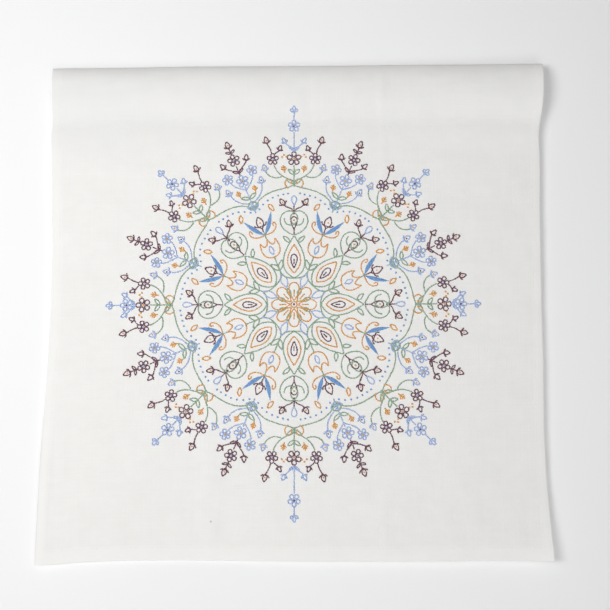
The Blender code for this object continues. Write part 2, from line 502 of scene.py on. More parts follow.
    def bent_back(self, across: Array, down: Array) -> Array:
        """Find how far the edges bend back, the left one less near the bottom.

        The lower right corner and the pocket's right end bend forward instead.

        Args:
            across: Place across.
            down: Distance down.

        Returns:
            Distance back.
        """
        low = smooth_step((down - self.low_start) / self.low_fade)
        left = self.left_bend.at(across - self.left(down)) * (1.0 - self.low_easing * low)
        from_right = self.right(down) - across
        curl = self.corner_curl_height
        under = smooth_step((down - self.drop + curl) / curl)
        full, fade = self.pocket_curl_full * self.pocket, self.pocket_curl_fade * self.pocket
        over = 1.0 - smooth_step((down - full) / fade)
        right = self.right_bend.at(from_right) + under * self.corner_curl.at(from_right)
        return left + right + over * self.pocket_curl.at(from_right) + self.foot_bend.at(self.drop - down)

    def forward(self, across: Array, down: Array, bulge: Array, lift: Array) -> Array:
        """Find how far the solid's cloth stands in front of the top fold.

        Args:
            across: Place across.
            down: Distance down.
            bulge: How far the pocket's way stands out from the base there.
            lift: Share of the right end's lift there.

        Returns:
            The base, plus the bulge times the fullness, plus the lift, plus the relief.
        """
        full = self.fullness.at(across, "full")
        lifted = self.fullness.at(across, "lift")
        return self.base(down) + bulge * full + self.lift * lift * lifted + self.relief(across, down)

    def face(self, across: Array, down: Array) -> Array:
        """Find the middle of the sheet on the front layer.

        Args:
            across: Place across.
            down: Distance down.

        Returns:
            Points, with their three coordinates in the last axis.
        """
        forward = self.forward(across, down, *self.front_of_pocket(down)) + self.fine_relief(across, down)
        return np.stack([across, self.bent_back(across, down) - forward, self.height(across, down)], axis=-1)

    def face_and_normal(self, across: Array, down: Array) -> tuple[Array, Array]:
        """Find the middle of the sheet on the front layer, and its slope from four points close by.

        Args:
            across: Place across.
            down: Distance down.

        Returns:
            Points, and the unit normals that point to the front.
        """
        step = self.normal_step
        right = self.face(across + step, down) - self.face(across - step, down)
        up = self.face(across, down - step) - self.face(across, down + step)
        normal = np.cross(right, up)
        return self.face(across, down), normal / np.linalg.norm(normal, axis=-1, keepdims=True)


@dataclass(frozen=True)
class Linen:
    """The cloth as one closed thin sheet: hems at three edges, and the pocket with its sewn flap at the top.

    The lines are the distances from an edge, from where its hem ends and from the pocket's seam at which the
    grid has lines of its own. Elsewhere they are about a step apart, and between_hems gives their number
    across the cloth. Painted shade darkens the doubled pocket, and the fold of the left edge low down is given
    a painted contact shadow.
    """

    shape: HungCloth
    step: float = 0.0030
    fold_steps: int = 4
    short_row: float = 0.0026
    between_hems: float = 0.478
    sharp_crease: float = 0.006
    by_crease: float = 0.009
    hem_lines: tuple[float, ...] = (0.0, 0.0001, 0.0004, 0.0010, 0.0025, 0.0050, 0.0075)
    hem_end_lines: tuple[float, ...] = (-0.0008, 0.0, 0.0006, 0.0020)
    seam_lines: tuple[float, ...] = (0.0120, 0.0090, 0.0060, 0.0030)
    over_fold: float = 0.003
    hem_fade: float = 0.0006
    sewn_fade: float = 0.001
    sewn_layers: float = 0.6
    flap_apart: float = 0.0008
    near_seam: float = 0.020
    near_seam_fade: float = 0.7
    rim: float = 0.0006
    rim_front: float = 0.65
    rim_rear: float = 0.3
    # Painted shade: where and how strongly the pocket's doubled cloth and the left edge's fold are tinted
    # darker.
    edge_shade_reach: float = 0.0014
    edge_shade_start: float = 0.330
    edge_shade_fade: float = 0.060
    pocket_shade_from: float = 0.009
    pocket_shade_full: float = 0.034
    pocket_shade_less: float = 0.045
    pocket_shade_end: float = 0.125
    painted_shades: Table = Table(
        "across share",
        (-0.250, 1.00),
        (-0.190, 0.95),
        (-0.110, 0.62),
        (0.000, 0.50),
        (0.250, 0.45),
    )

    def hem_distances(self, width: float) -> Array:
        """Distances from an edge at which the grid has lines, also where a hem of a width ends."""
        return np.array([*self.hem_lines, *(width + line for line in self.hem_end_lines)])

    def columns(self, down: Array) -> Array:
        """Lay the grid across: parallel to the edges at the hems, even between them, closer at sharp creases.

        Args:
            down: Distance down of each row.

        Returns:
            Place across of every point, rows by columns.
        """
        hem = self.hem_distances(self.shape.side_hem)
        left = self.shape.left(down)[:, None] + hem
        right = self.shape.right(down)[:, None] - hem[::-1]
        even = np.linspace(left[:, -1].mean(), right[:, 0].mean(), int(self.between_hems / self.step) + 1)
        creases = self.shape.creases
        sharp = creases["across"][creases["half_width"] < self.sharp_crease]
        between = (even[1:] + even[:-1]) / 2.0
        between = between[np.abs(between[:, None] - sharp).min(axis=1) < self.by_crease]
        places = np.sort(np.concatenate([even, between]))
        share = ((places - places[0]) / (places[-1] - places[0]))[1:-1]
        middle = left[:, -1:] * (1.0 - share) + right[:, :1] * share
        return np.concatenate([left, middle, right], axis=1)

    def path(self) -> tuple[Array, ...]:
        """Follow the cloth from the bottom edge up, over the fold, and down to the end of the flap.

        Returns:
            For each row its distance down, its bulge beyond the base, its share of the lift, how much it is
            part of the front layer, and how much it is the flap's sewn end, both from 0 to 1.
        """
        shape = self.shape
        hem = self.hem_distances(shape.bottom_hem)
        by_seam = shape.pocket + np.array(self.seam_lines)
        count = int((shape.drop - hem[-1] - by_seam[0]) / self.step)
        even = np.linspace(shape.drop - hem[-1], by_seam[0], count)
        panel = np.concatenate([shape.drop - hem, even[1:], by_seam[1:]])
        length = shape.way_length()
        between = np.diff(length)
        counts = np.where(between < self.short_row, self.fold_steps, np.ceil(between / self.step)).astype(int)
        places = np.interp(np.arange(counts.sum() + 1), np.concatenate([[0], np.cumsum(counts)]), length)
        down, bulge, lift = shape.pocket_run(places)
        fold = length[np.argmin(shape.way["down"])]
        front = 1.0 - smooth_step((places - fold + self.over_fold) / (2.0 * self.over_fold))
        at_seam = smooth_step((down - shape.pocket + self.sewn_fade) / (2.0 * self.sewn_fade))
        none = np.zeros(len(panel))
        return (
            np.concatenate([panel, down]),
            np.concatenate([none, bulge]),
            np.concatenate([shape.panel_lift(panel), lift]),
            np.concatenate([none + 1.0, front]),
            np.concatenate([none, (1.0 - front) * at_seam]),
        )

    def painted_shade(self, across: Array, down: Array) -> Array:
        """Find how much greyer than the panel the doubled cloth of the pocket and the left edge's fold are.

        It is painted shade. For the pocket, where shade falls on the doubled cloth, it is a table by the place
        across, times a rise below the fold and a slow fall from above the seam. For the edge, a painted contact
        shadow, it falls from the fold inwards, and shows only low down.

        Args:
            across: Place across.
            down: Distance down.

        Returns:
            Shares from 0 to 1.
        """
        # Painted shade over the pocket, and a painted contact shadow along the left edge's fold low down.
        rise = smooth_step((down - self.pocket_shade_from) / (self.pocket_shade_full - self.pocket_shade_from))
        fall = 1.0 - smooth_step((down - self.pocket_shade_less) / (self.pocket_shade_end - self.pocket_shade_less))
        edge = 1.0 - smooth_step((across - self.shape.left(down)) / self.edge_shade_reach)
        low = smooth_step((down - self.edge_shade_start) / self.edge_shade_fade)
        return np.maximum(self.painted_shades.at(across, "share") * rise * fall, edge * low)

    @staticmethod
    def from_side(across: Array) -> Array:
        """Distance of each point from the nearer side edge."""
        return np.minimum(across - across[:, :1], across[:, -1:] - across)

    def middle(self) -> tuple[Array, Array, Array, Array]:
        """Work out the middle of the sheet over the whole path.

        The rear layer bends back with the front one near the seam, and its hems stand a little apart from it.

        Returns:
            Points, rows by columns by 3, the place across of each, and two shares from 0 to 1: how much it
            has of the turned edges' thickness, and how much painted shade it has.
        """
        shape = self.shape
        path = self.path()
        across = self.columns(path[0])
        down, bulge, lift, front, sewn = (np.repeat(row[:, None], across.shape[1], axis=1) for row in path)
        hem = 1.0 - smooth_step((self.from_side(across) - shape.side_hem) / self.hem_fade)
        foot = front * (1.0 - smooth_step((shape.drop - down - shape.bottom_hem) / self.hem_fade))
        by_seam = (down - shape.pocket + self.near_seam) / (self.near_seam_fade * self.near_seam)
        behind = (1.0 - front) * smooth_step(by_seam)
        forward = shape.forward(across, down, bulge, lift) + front * shape.fine_relief(across, down)
        forward = forward - np.maximum(front, behind) * shape.bent_back(across, down)
        forward = forward - self.flap_apart * behind * hem
        turned = np.maximum.reduce([hem, foot, self.sewn_layers * sewn])
        points = np.stack([across, -forward, shape.height(across, down)], axis=2)
        return points, across, turned, front * self.painted_shade(across, down)

    def skins(self, middle: Array, across: Array, turned: Array, length: Array) -> Array:
        """Lay the front skin half a sheet out from the middle and the back one behind it, the rim rounded.

        Turned edges are thicker towards the back. Near the rim the thickness follows a circle's arc.

        Args:
            middle: Middle of the sheet, rows by columns by 3.
            across: Place across, rows by columns.
            turned: Share of the turned edges' thickness, rows by columns.
            length: Length of the cloth up to each row.

        Returns:
            Points of both skins, N by 3.
        """
        normal = np.cross(np.gradient(middle, axis=1), np.gradient(middle, axis=0))
        normal /= np.linalg.norm(normal, axis=2, keepdims=True)
        thick = self.shape.linen + self.shape.hem_extra * turned
        from_end = np.minimum(length, length[-1] - length)[:, None]
        inside = np.clip(np.minimum(self.from_side(across), from_end) / self.rim, 0.0, 1.0)
        arc = np.sqrt(1.0 - (1.0 - inside) ** 2)
        centre = middle + normal * (self.shape.linen / 2 - thick / 2)[:, :, None]
        half = normal * (thick / 2)[:, :, None]
        front = centre + half * np.maximum(arc, self.rim_front)[:, :, None]
        rear = centre - half * np.maximum(arc, self.rim_rear)[:, :, None]
        return np.concatenate([front.reshape(-1, 3), rear.reshape(-1, 3)])

    def build(self) -> bpy.types.Object:
        """Join both skins round the rim, and note the turned edges and the greyness as attributes.

        Returns:
            The cloth.
        """
        middle, across, turned, painted_shades = self.middle()
        rows, columns = across.shape
        length = running_length(middle[:, columns // 2])
        flat = np.stack([across, np.repeat(length[:, None], columns, axis=1)], axis=2).reshape(-1, 2)

        rear = rows * columns
        index = np.arange(rear).reshape(rows, columns)
        corners = (index[:-1, :-1], index[:-1, 1:], index[1:, 1:], index[1:, :-1])
        quads = np.stack(corners, axis=2).reshape(-1, 4)
        loop = np.concatenate([index[0, :-1], index[:-1, -1], index[-1, :0:-1], index[:0:-1, 0]])
        after = np.roll(loop, -1)
        rim = np.stack([after, loop, loop + rear, after + rear], axis=1)
        points = self.skins(middle, across, turned, length)
        shell = Shell(points, [quads, quads[:, ::-1] + rear, rim], np.concatenate([flat, flat]))
        made = mesh_object("linen_cloth", shell)
        # The second attribute holds the painted shade of the pocket and the left edge's fold.
        for name, shares in (("layers", turned), ("painted_shade", painted_shades)):
            values = made.data.attributes.new(name, "FLOAT", "POINT")
            values.data.foreach_set("value", np.tile(shares.ravel(), 2).astype(np.float32))
        return made


class Thread(Enum):
    """Colours of stranded cotton in the embroidery."""

    ORANGE = "orange"
    GREEN = "green"
    SKY = "sky"
    BLUE = "blue"
    PLUM = "plum"


ORANGE, GREEN, SKY, BLUE, PLUM = Thread


def rotation(turn: float) -> Array:
    """Matrix that turns a point anticlockwise by an angle in degrees."""
    cosine, sine = math.cos(math.radians(turn)), math.sin(math.radians(turn))
    return np.array([[cosine, -sine], [sine, cosine]])


@dataclass
class Pattern:
    """Part of the design in its own plane, in millimetres: lines, filled shapes and knots of each thread.

    A line is a row of points. A filled shape is a pair of rails with as many points each, between which satin
    stitches run. A knot is a place and its diameter.
    """

    lines: list[tuple[Thread, Array]] = field(default_factory=list)
    fills: list[tuple[Thread, Array, Array]] = field(default_factory=list)
    knots: list[tuple[Thread, Array, float]] = field(default_factory=list)

    def line(self, thread: Thread, *paths: Array) -> "Pattern":
        """Add lines of one thread."""
        self.lines += [(thread, path) for path in paths]
        return self

    def fill(self, thread: Thread, rail: Array, other: Array) -> "Pattern":
        """Add a shape that satin stitches fill."""
        self.fills.append((thread, rail, other))
        return self

    def knot(self, thread: Thread, *places: Pair, size: float = 1.9) -> "Pattern":
        """Add French knots of one thread."""
        self.knots += [(thread, np.array(place, float), size) for place in places]
        return self

    def mapped(self, matrix: Array, shift: Pair = (0.0, 0.0)) -> "Pattern":
        """Copy the pattern.

        Args:
            matrix: What each point is multiplied by.
            shift: What is then added to it.

        Returns:
            The copy.
        """
        def move(points: Array) -> Array:
            """One row of points, or one point, in its new place."""
            return points @ matrix.T + np.array(shift)

        return Pattern(
            [(thread, move(path)) for thread, path in self.lines],
            [(thread, move(rail), move(other)) for thread, rail, other in self.fills],
            [(thread, move(place), size) for thread, place, size in self.knots],
        )

    def placed(self, x: float = 0.0, y: float = 0.0, turn: float = 0.0) -> "Pattern":
        """A copy turned anticlockwise by an angle in degrees, and then moved."""
        return self.mapped(rotation(turn), (x, y))

    def add(self, *others: "Pattern") -> "Pattern":
        """Take in other patterns, in their order.

        Args:
            others: The patterns.

        Returns:
            This pattern.
        """
        for other in others:
            self.lines += other.lines
            self.fills += other.fills
            self.knots += other.knots
        return self

    def with_mirror(self) -> "Pattern":
        """This pattern and its copy with left and right exchanged."""
        return Pattern().add(self, self.mapped(np.diag([-1.0, 1.0])))

    def ring(self, count: int, first: float = 0.0) -> "Pattern":
        """Copies turned round the origin at equal angles, the first of them by an angle in degrees."""
        return Pattern().add(*(self.placed(turn=first + 360.0 * k / count) for k in range(count)))


def straight(start: Pair, end: Pair) -> Array:
    """Straight line between two points."""
    return np.array([start, end], float)


def upright(low: float, high: float) -> Array:
    """Straight line up the axis between two heights."""
    return straight((0.0, low), (0.0, high))


def bezier(*points: Pair, count: int = 24) -> Array:
    """Draw a Bezier curve: the sum of its points times their Bernstein weights.

    Args:
        points: Control points, of which the curve meets the first and the last.
        count: Points on the curve.

    Returns:
        The curve, N by 2.
    """
    degree = len(points) - 1
    t = np.linspace(0.0, 1.0, count)[:, None]
    weights = [math.comb(degree, k) * t**k * (1.0 - t) ** (degree - k) for k in range(degree + 1)]
    return sum(weight * np.array(point, float) for weight, point in zip(weights, points))


def circle(radius: float, count: int) -> Array:
    """Closed circle of a number of equal sides."""
    t = np.linspace(0.0, FULL_TURN, count + 1)
    return radius * np.stack([np.cos(t), np.sin(t)], axis=1)


def curl(length: float, turn: float, power: float, start: float, count: int = 40) -> Array:
    """Draw a scroll from the origin, whose heading is start + turn * s ** power degrees left of straight up.

    Args:
        length: Length of the line.
        turn: How far its heading turns in all.
        power: How late it turns: 1 for a circle's arc, more for a line that winds up towards its end.
        start: Heading at the origin.
        count: Points on the line.

    Returns:
        The line, N by 2.
    """
    s = np.linspace(0.0, 1.0, count)
    heading = np.radians(start + turn * s**power)
    step = np.stack([-np.sin(heading), np.cos(heading)], axis=1)
    middle = (step[1:] + step[:-1]) / 2.0 * length / (count - 1)
    return np.concatenate([[(0.0, 0.0)], np.cumsum(middle, axis=0)])


def half_leaf(length: float, width: float, full: float = 1.0, bend: float = 0.0, count: int = 16) -> Array:
    """Draw the right side of a leaf up from the origin: it stands out by width / 2 * sin(pi * s ** full).

    Args:
        length: Length of the leaf.
        width: Width of the whole leaf, below 0 for its left side.
        full: Under 1 widens its foot, and over 1 its head.
        bend: How far its tip leans to the right, as the square of s.
        count: Points on the line.

    Returns:
        The line, N by 2.
    """
    s = np.linspace(0.0, 1.0, count)
    half = width / 2.0 * np.sin(math.pi * s**full)
    return np.stack([half + bend * s**2, length * s], axis=1)


def leaf(length: float, width: float, full: float = 1.0, bend: float = 0.0) -> Array:
    """Closed outline of a leaf with a point at both ends, made of its two sides."""
    sides = [half_leaf(length, side * width, full, bend) for side in (1.0, -1.0)]
    return np.concatenate([sides[0], sides[1][::-1]])


def drop(length: float, width: float, count: int = 26) -> Array:
    """Draw a closed drop up from its point: x is as sin t * sin(t / 2), and y as (1 - cos t) / 2.

    Args:
        length: Length of the drop.
        width: Its greatest width.
        count: Sides of the outline.

    Returns:
        The outline, N by 2.
    """
    widest = 0.77
    t = np.linspace(0.0, FULL_TURN, count + 1)
    wide = np.sin(t) * np.abs(np.sin(t / 2.0)) / widest
    return np.stack([width / 2.0 * wide, length * (1.0 - np.cos(t)) / 2.0], axis=1)


def moved(path: Array, x: float = 0.0, y: float = 0.0, turn: float = 0.0) -> Array:
    """The path turned anticlockwise by an angle in degrees, and then moved."""
    return path @ rotation(turn).T + np.array([x, y])


@dataclass(frozen=True)
class Sprigs:
    """Small motifs that the design is made of, each growing up from the origin, in millimetres.

    Most sizes here are shares of the length or radius that a motif is asked for. The lean of a leaf, the knot
    of a bud and the places of berries are millimetres, and a side loop's last number is its angle.
    """

    petals: int = 5
    petal_sides: int = 12
    daisy_heart: float = 0.22
    petal_widest: float = 0.62
    petal_room: float = 0.92
    bud_width: float = 0.56
    bud_full: float = 0.86
    bud_knot_at: float = 0.46
    bud_knot: float = 1.6
    sepal: tuple[Pair, ...] = ((0.0, 0.20), (0.42, 0.05), (0.50, 0.42))
    sepal_points: int = 6
    leaf_full: float = 0.9
    leaf_lean: float = 0.9
    loop_sides: int = 10
    loop_width: float = 0.5
    side_loop: Triple = (0.72, 0.42, 52.0)
    barbs: Table = Table(
        "foot reach",
        (0.28, 0.36),
        (0.58, 0.26),
    )
    barb_rise: float = 0.9
    berry_places: tuple[Pair, ...] = ((0.0, 2.6), (-2.2, 0.4), (2.2, 0.4))

    def daisy(self, thread: Thread, heart: Thread, radius: float) -> Pattern:
        """Make an open flower of round petals about a knot, centred on the origin.

        Args:
            thread: Thread of the petals.
            heart: Thread of the knot.
            radius: Radius of the flower.

        Returns:
            The flower.
        """
        inner = self.daisy_heart * radius
        width = FULL_TURN * radius * self.petal_widest / self.petals * self.petal_room
        petal = Pattern().line(thread, moved(drop(radius - inner, width, self.petal_sides), y=inner))
        return petal.ring(self.petals).knot(heart, (0.0, 0.0))

    def bud(self, thread: Thread, length: float, heart: Thread | None = None) -> Pattern:
        """Make a pointed bud with two sepals at its foot.

        Args:
            thread: Thread of the bud.
            length: Its length.
            heart: Thread of the knot inside, where it has one.

        Returns:
            The bud.
        """
        sepal = length * bezier(*self.sepal, count=self.sepal_points)
        outline = leaf(length, length * self.bud_width, self.bud_full)
        made = Pattern().line(thread, outline, sepal, sepal * np.array([-1.0, 1.0]))
        if heart is not None:
            made.knot(heart, (0.0, self.bud_knot_at * length), size=self.bud_knot)
        return made

    def leaves(self, thread: Thread, length: float, spread: float, width: float = 3.6) -> Pattern:
        """Two leaves from one place on a stem, each leaning out to its side by an angle in degrees."""
        one = leaf(length, width, self.leaf_full, self.leaf_lean)
        return Pattern().line(thread, moved(one, turn=-spread)).with_mirror()

    def trefoil(self, thread: Thread, size: float) -> Pattern:
        """Make the tip of a spray: three small loops from one point.

        Args:
            thread: Its thread.
            size: Length of the middle loop.

        Returns:
            The three loops.
        """
        long, wide, lean = self.side_loop
        middle = drop(size, size * self.loop_width, self.loop_sides)
        side = drop(size * long, size * wide, self.loop_sides)
        return Pattern().line(thread, middle, moved(side, turn=lean), moved(side, turn=-lean))

    def fern(self, thread: Thread, length: float) -> Pattern:
        """Make a little sprig of straight stitches: a stem with two pairs of barbs.

        Args:
            thread: Its thread.
            length: Its length.

        Returns:
            The sprig.
        """
        sprig = Pattern().line(thread, upright(0.0, length))
        for foot, reach in self.barbs.rows:
            low, out = foot * length, reach * length
            for side in (out, -out):
                sprig.line(thread, straight((0.0, low), (side, low + self.barb_rise * out)))
        return sprig

    def berries(self, thread: Thread) -> Pattern:
        """Three knots at the end of a stalk."""
        return Pattern().knot(thread, *self.berry_places)

    def stalk(self, thread: Thread, *points: Pair, count: int = 24) -> Pattern:
        """Curved stalk, a Bezier curve."""
        return Pattern().line(thread, bezier(*points, count=count))


@dataclass(frozen=True)
class Medallion:
    """The round design: eight like sectors of flowers, leaves and scrolls, in millimetres from its centre.

    The tips are the heights of the sprays on the main axes, and the side tip is that of the sprays between.
    Scallops meet at the distance arch_foot, the rows of dots end at a share of it, and the curls start at
    shares of it, sideways and up.
    """

    sprigs: Sprigs = Sprigs()
    tips: tuple[float, ...] = (206.0, 196.0, 188.0, 196.0, 212.0, 196.0, 188.0, 196.0)
    side_tip: float = 186.0
    arch_foot: float = 104.0
    dots_foot: float = 0.955
    arch_curl: Pair = (0.93, 1.075)

    def heart(self) -> Pattern:
        """Make the daisy at the centre, with almond leaves between its petals and a scalloped line about it.

        Returns:
            The middle of the design.
        """
        petal = Pattern().line(ORANGE, moved(drop(18.5, 10.4), y=4.0), upright(7.5, 15.0))
        petal.line(GREEN, bezier((-13.0, 31.4), (-9.5, 25.0), (9.5, 25.0), (13.0, 31.4)))
        between = Pattern().line(SKY, moved(leaf(15.5, 6.6), y=18.5))
        between.line(GREEN, moved(leaf(9.5, 3.4, 1.1), y=8.5))
        centre = Pattern().line(ORANGE, circle(3.2, 12)).knot(PLUM, (0.0, 0.0), size=2.2)
        count = len(self.tips)
        return centre.add(petal.ring(count), between.ring(count, 180.0 / count))

    def lotus(self) -> Pattern:
        """Make the upright flower of a main axis: a wide green sheath with an orange petal and a plum drop.

        Returns:
            The flower.
        """
        flower = Pattern().line(ORANGE, moved(leaf(29.0, 13.4, 0.86), y=32.0))
        flower.line(PLUM, moved(drop(14.5, 6.4), y=37.0), upright(41.5, 46.5))
        side = Pattern().line(GREEN, bezier((0.0, 27.0), (13.5, 33.0), (15.5, 47.0), (0.0, 70.0)))
        side.line(GREEN, moved(leaf(9.5, 3.8, 0.9, 1.0), x=4.2, y=63.0, turn=-40.0))
        return flower.add(side.with_mirror())

    def tulip(self) -> Pattern:
        """Make the cup flower of an axis between: orange cup, blue tongue, green leaves on its stem.

        Returns:
            The flower.
        """
        stem = Pattern().line(GREEN, upright(34.0, 52.0))
        stem.add(self.sprigs.leaves(GREEN, 11.0, 30.0, 4.4).placed(y=37.5))
        cup = Pattern().line(
            ORANGE,
            bezier((0.0, 52.0), (10.0, 52.6), (10.8, 61.0), (8.0, 70.0)),
            bezier((8.0, 70.0), (6.0, 63.0), (2.4, 62.0), (0.0, 72.0)),
        )
        tongue = Pattern().line(SKY, moved(leaf(9.5, 4.4), y=54.8)).line(GREEN, upright(72.0, 79.0))
        return stem.add(cup.with_mirror(), tongue)

    def chevrons(self) -> Pattern:
        """Make filled blue leaves in a V over a cup, with a plum bud between them and scrolls beside them.

        Returns:
            What grows over the cup flower.
        """
        halves = [half_leaf(25.0, width, 0.85, 2.6, 32) for width in (7.6, -1.2)]
        rails = [moved(half, x=0.4, y=77.0, turn=-30.0) for half in halves]
        scroll = bezier((0.5, 76.5), (11.0, 74.5), (17.5, 79.0), (17.5, 89.5), (9.5, 88.5), (11.5, 82.0))
        side = Pattern().fill(BLUE, *rails).line(ORANGE, scroll)
        bud = self.sprigs.bud(PLUM, 13.0, ORANGE).placed(y=84.0)
        return side.with_mirror().add(bud).line(PLUM, upright(78.0, 84.0))

    def scrolls(self) -> Pattern:
        """Make a heart of two green scrolls over an upright flower, with a plum drop in it and buds on it.

        Returns:
            What grows over the upright flower.
        """
        side = Pattern().line(GREEN, moved(curl(72.0, 440.0, 1.5, -70.0), x=0.8, y=71.0)).add(
            self.sprigs.stalk(PLUM, (0.0, 95.0), (3.0, 100.5), (7.0, 98.0), (9.6, 101.5), count=10),
            self.sprigs.bud(PLUM, 8.4, ORANGE).placed(9.6, 101.5, -34.0),
        )
        side.line(ORANGE, moved(leaf(9.0, 4.2), x=20.5, y=96.0, turn=-40.0))
        inside = Pattern().line(PLUM, moved(drop(13.0, 6.6), y=77.0), upright(71.0, 77.0))
        inside.line(PLUM, upright(92.0, 101.5)).line(SKY, moved(drop(10.0, 5.4), y=101.5))
        inside.knot(ORANGE, (0.0, 86.0))
        return side.with_mirror().add(inside)

    def arches(self) -> Pattern:
        """Make the round green scallop over an axis, with a dotted blue line under it and curls at its ends.

        Returns:
            The scallop of one sector.
        """
        half = math.pi / len(self.tips)
        foot = self.arch_foot * np.array([math.sin(half), math.cos(half)])
        arch = bezier((0.0, 123.0), (5.0, 117.5), (26.0, 120.5), (39.5, 108.5), tuple(foot), count=40)
        curl_x, curl_y = foot * np.array(self.arch_curl)
        side = Pattern().line(GREEN, arch, moved(curl(24.0, -340.0, 1.5, -52.0), x=curl_x, y=curl_y))
        side.line(ORANGE, moved(curl(21.0, 290.0, 1.4, -62.0), x=5.5, y=119.4))
        end = tuple(self.dots_foot * foot)
        dots = bezier((2.6, 115.0), (8.0, 111.5), (23.0, 114.0), (34.0, 104.0), end, count=9)
        return side.knot(BLUE, *dots[1:-1]).with_mirror()

    def main_spray(self, tip: float) -> Pattern:
        """Make the spray of a main axis: leaves, a plum flower, blue flowers and buds on a green stem.

        Args:
            tip: Height of its tip.

        Returns:
            The spray.
        """
        make = self.sprigs
        spray = Pattern().line(GREEN, upright(121.0, 144.0))
        spray.line(SKY, upright(157.0, tip - 27.0), upright(tip - 14.5, tip - 6.5))
        spray.add(
            make.leaves(GREEN, 9.5, 50.0).placed(y=124.0),
            make.leaves(GREEN, 8.0, 44.0).placed(y=134.0),
            make.daisy(PLUM, ORANGE, 7.2).placed(y=150.6),
            make.leaves(SKY, 6.5, 46.0, 2.8).placed(y=159.0),
            make.daisy(SKY, PLUM, 6.2).placed(y=tip - 20.8),
            make.trefoil(SKY, 6.5).placed(y=tip - 6.5),
        )
        side = Pattern().add(
            make.stalk(GREEN, (0.0, 126.0), (9.0, 131.0), (17.0, 133.0), (20.5, 144.0)),
            make.daisy(PLUM, SKY, 6.0).placed(21.8, 150.0),
            make.stalk(PLUM, (23.0, 156.0), (23.6, 160.0), (25.4, 163.0), (27.6, 166.0), count=6),
            make.bud(PLUM, 8.2, ORANGE).placed(27.6, 166.0, -14.0),
            make.bud(PLUM, 6.6).placed(15.6, 158.6, 24.0),
            make.stalk(PLUM, (19.6, 155.4), (18.6, 157.0), (17.0, 158.0), (15.6, 158.6), count=5),
            make.fern(ORANGE, 8.5).placed(9.6, 135.5, -10.0),
            make.stalk(GREEN, (12.5, 131.6), (19.0, 129.0), (26.0, 130.5), (29.0, 137.0)),
            make.bud(SKY, 8.0, ORANGE).placed(29.2, 137.0, -16.0),
            make.berries(ORANGE).placed(10.0, 152.0, -6.0),
            make.bud(SKY, 7.0).placed(8.6, 166.5, -30.0),
            make.stalk(SKY, (0.0, 158.5), (3.0, 163.0), (6.0, 164.0), (8.6, 166.5), count=6),
        )
        return spray.add(side.with_mirror())

    def side_spray(self) -> Pattern:
        """Make the spray of an axis between: plum flowers and blue buds on a blue stem.

        Returns:
            The spray.
        """
        make, tip = self.sprigs, self.side_tip
        spray = Pattern().line(SKY, upright(101.0, 131.0))
        spray.line(PLUM, upright(144.0, 154.5), upright(167.5, tip - 12.0))
        spray.add(
            make.leaves(SKY, 8.0, 46.0, 3.2).placed(y=105.0),
            make.leaves(GREEN, 9.0, 58.0).placed(y=117.0),
            make.daisy(SKY, ORANGE, 6.2).placed(y=137.4),
            make.leaves(PLUM, 6.8, 50.0, 2.8).placed(y=146.5),
            make.daisy(PLUM, SKY, 6.2).placed(y=161.0),
            make.bud(PLUM, 8.6, ORANGE).placed(y=tip - 12.0),
            make.leaves(PLUM, 5.6, 54.0, 2.4).placed(y=169.0),
        )
        side = Pattern().add(
            make.stalk(SKY, (0.0, 111.0), (8.0, 115.0), (15.0, 118.0), (17.0, 127.0)),
            make.bud(SKY, 8.4, PLUM).placed(17.2, 127.0, -10.0),
            make.daisy(SKY, ORANGE, 5.4).placed(13.2, 144.4),
            make.stalk(SKY, (0.0, 127.0), (5.0, 131.0), (9.0, 133.0), (12.0, 139.0), count=8),
            make.bud(PLUM, 7.4).placed(11.4, 155.6, -24.0),
            make.stalk(PLUM, (0.0, 147.0), (4.0, 151.0), (8.0, 152.0), (11.4, 155.6), count=6),
            make.fern(ORANGE, 8.0).placed(8.2, 121.5, -8.0),
        )
        return spray.add(side.with_mirror())

    def whole(self) -> Pattern:
        """Put the whole design together, upright about its centre.

        Returns:
            The design.
        """
        count = len(self.tips)
        step = 360.0 / count
        on_axis = Pattern().add(self.lotus(), self.scrolls(), self.arches())
        between = Pattern().add(self.tulip(), self.chevrons())
        design = self.heart().add(on_axis.ring(count), between.ring(count, step / 2.0))
        for k, tip in enumerate(self.tips):
            design.add(self.main_spray(tip).placed(turn=step * k))
            design.add(self.side_spray().placed(turn=step * (k + 0.5)))
        return design


@dataclass
class Strand:
    """Straight stitches of one thread: start and end places across and down, and widths, all in metres."""

    start: Array
    end: Array
    width: Array

    @staticmethod
    def along(run: Array, width: float, every: int = 1) -> "Strand":
        """Stitch from hole to hole of a run.

        Args:
            run: The holes, N by 2.
            width: Width of the stitches.
            every: Steps of the run that a stitch covers.

        Returns:
            The stitches.
        """
        last = len(run) - 1
        holes = run[np.unique(np.append(np.arange(0, last, every), last))]
        return Strand(holes[:-1], holes[1:], np.full(len(holes) - 1, width))

    @staticmethod
    def joined(strands: list["Strand"]) -> "Strand":
        """Several strands as one."""
        parts = zip(*((strand.start, strand.end, strand.width) for strand in strands))
        return Strand(*(np.concatenate(part) for part in parts))


class Spindle(Enum):
    """Forms of a stitch: the sides of its rings, and each ring's place along it and share of the size."""

    FINE = (6, Table("along full", (0.09, 0.84), (0.34, 1.00), (0.66, 1.00), (0.91, 0.84)))
    PLAIN = (4, Table("along full", (0.16, 0.90), (0.84, 0.90)))


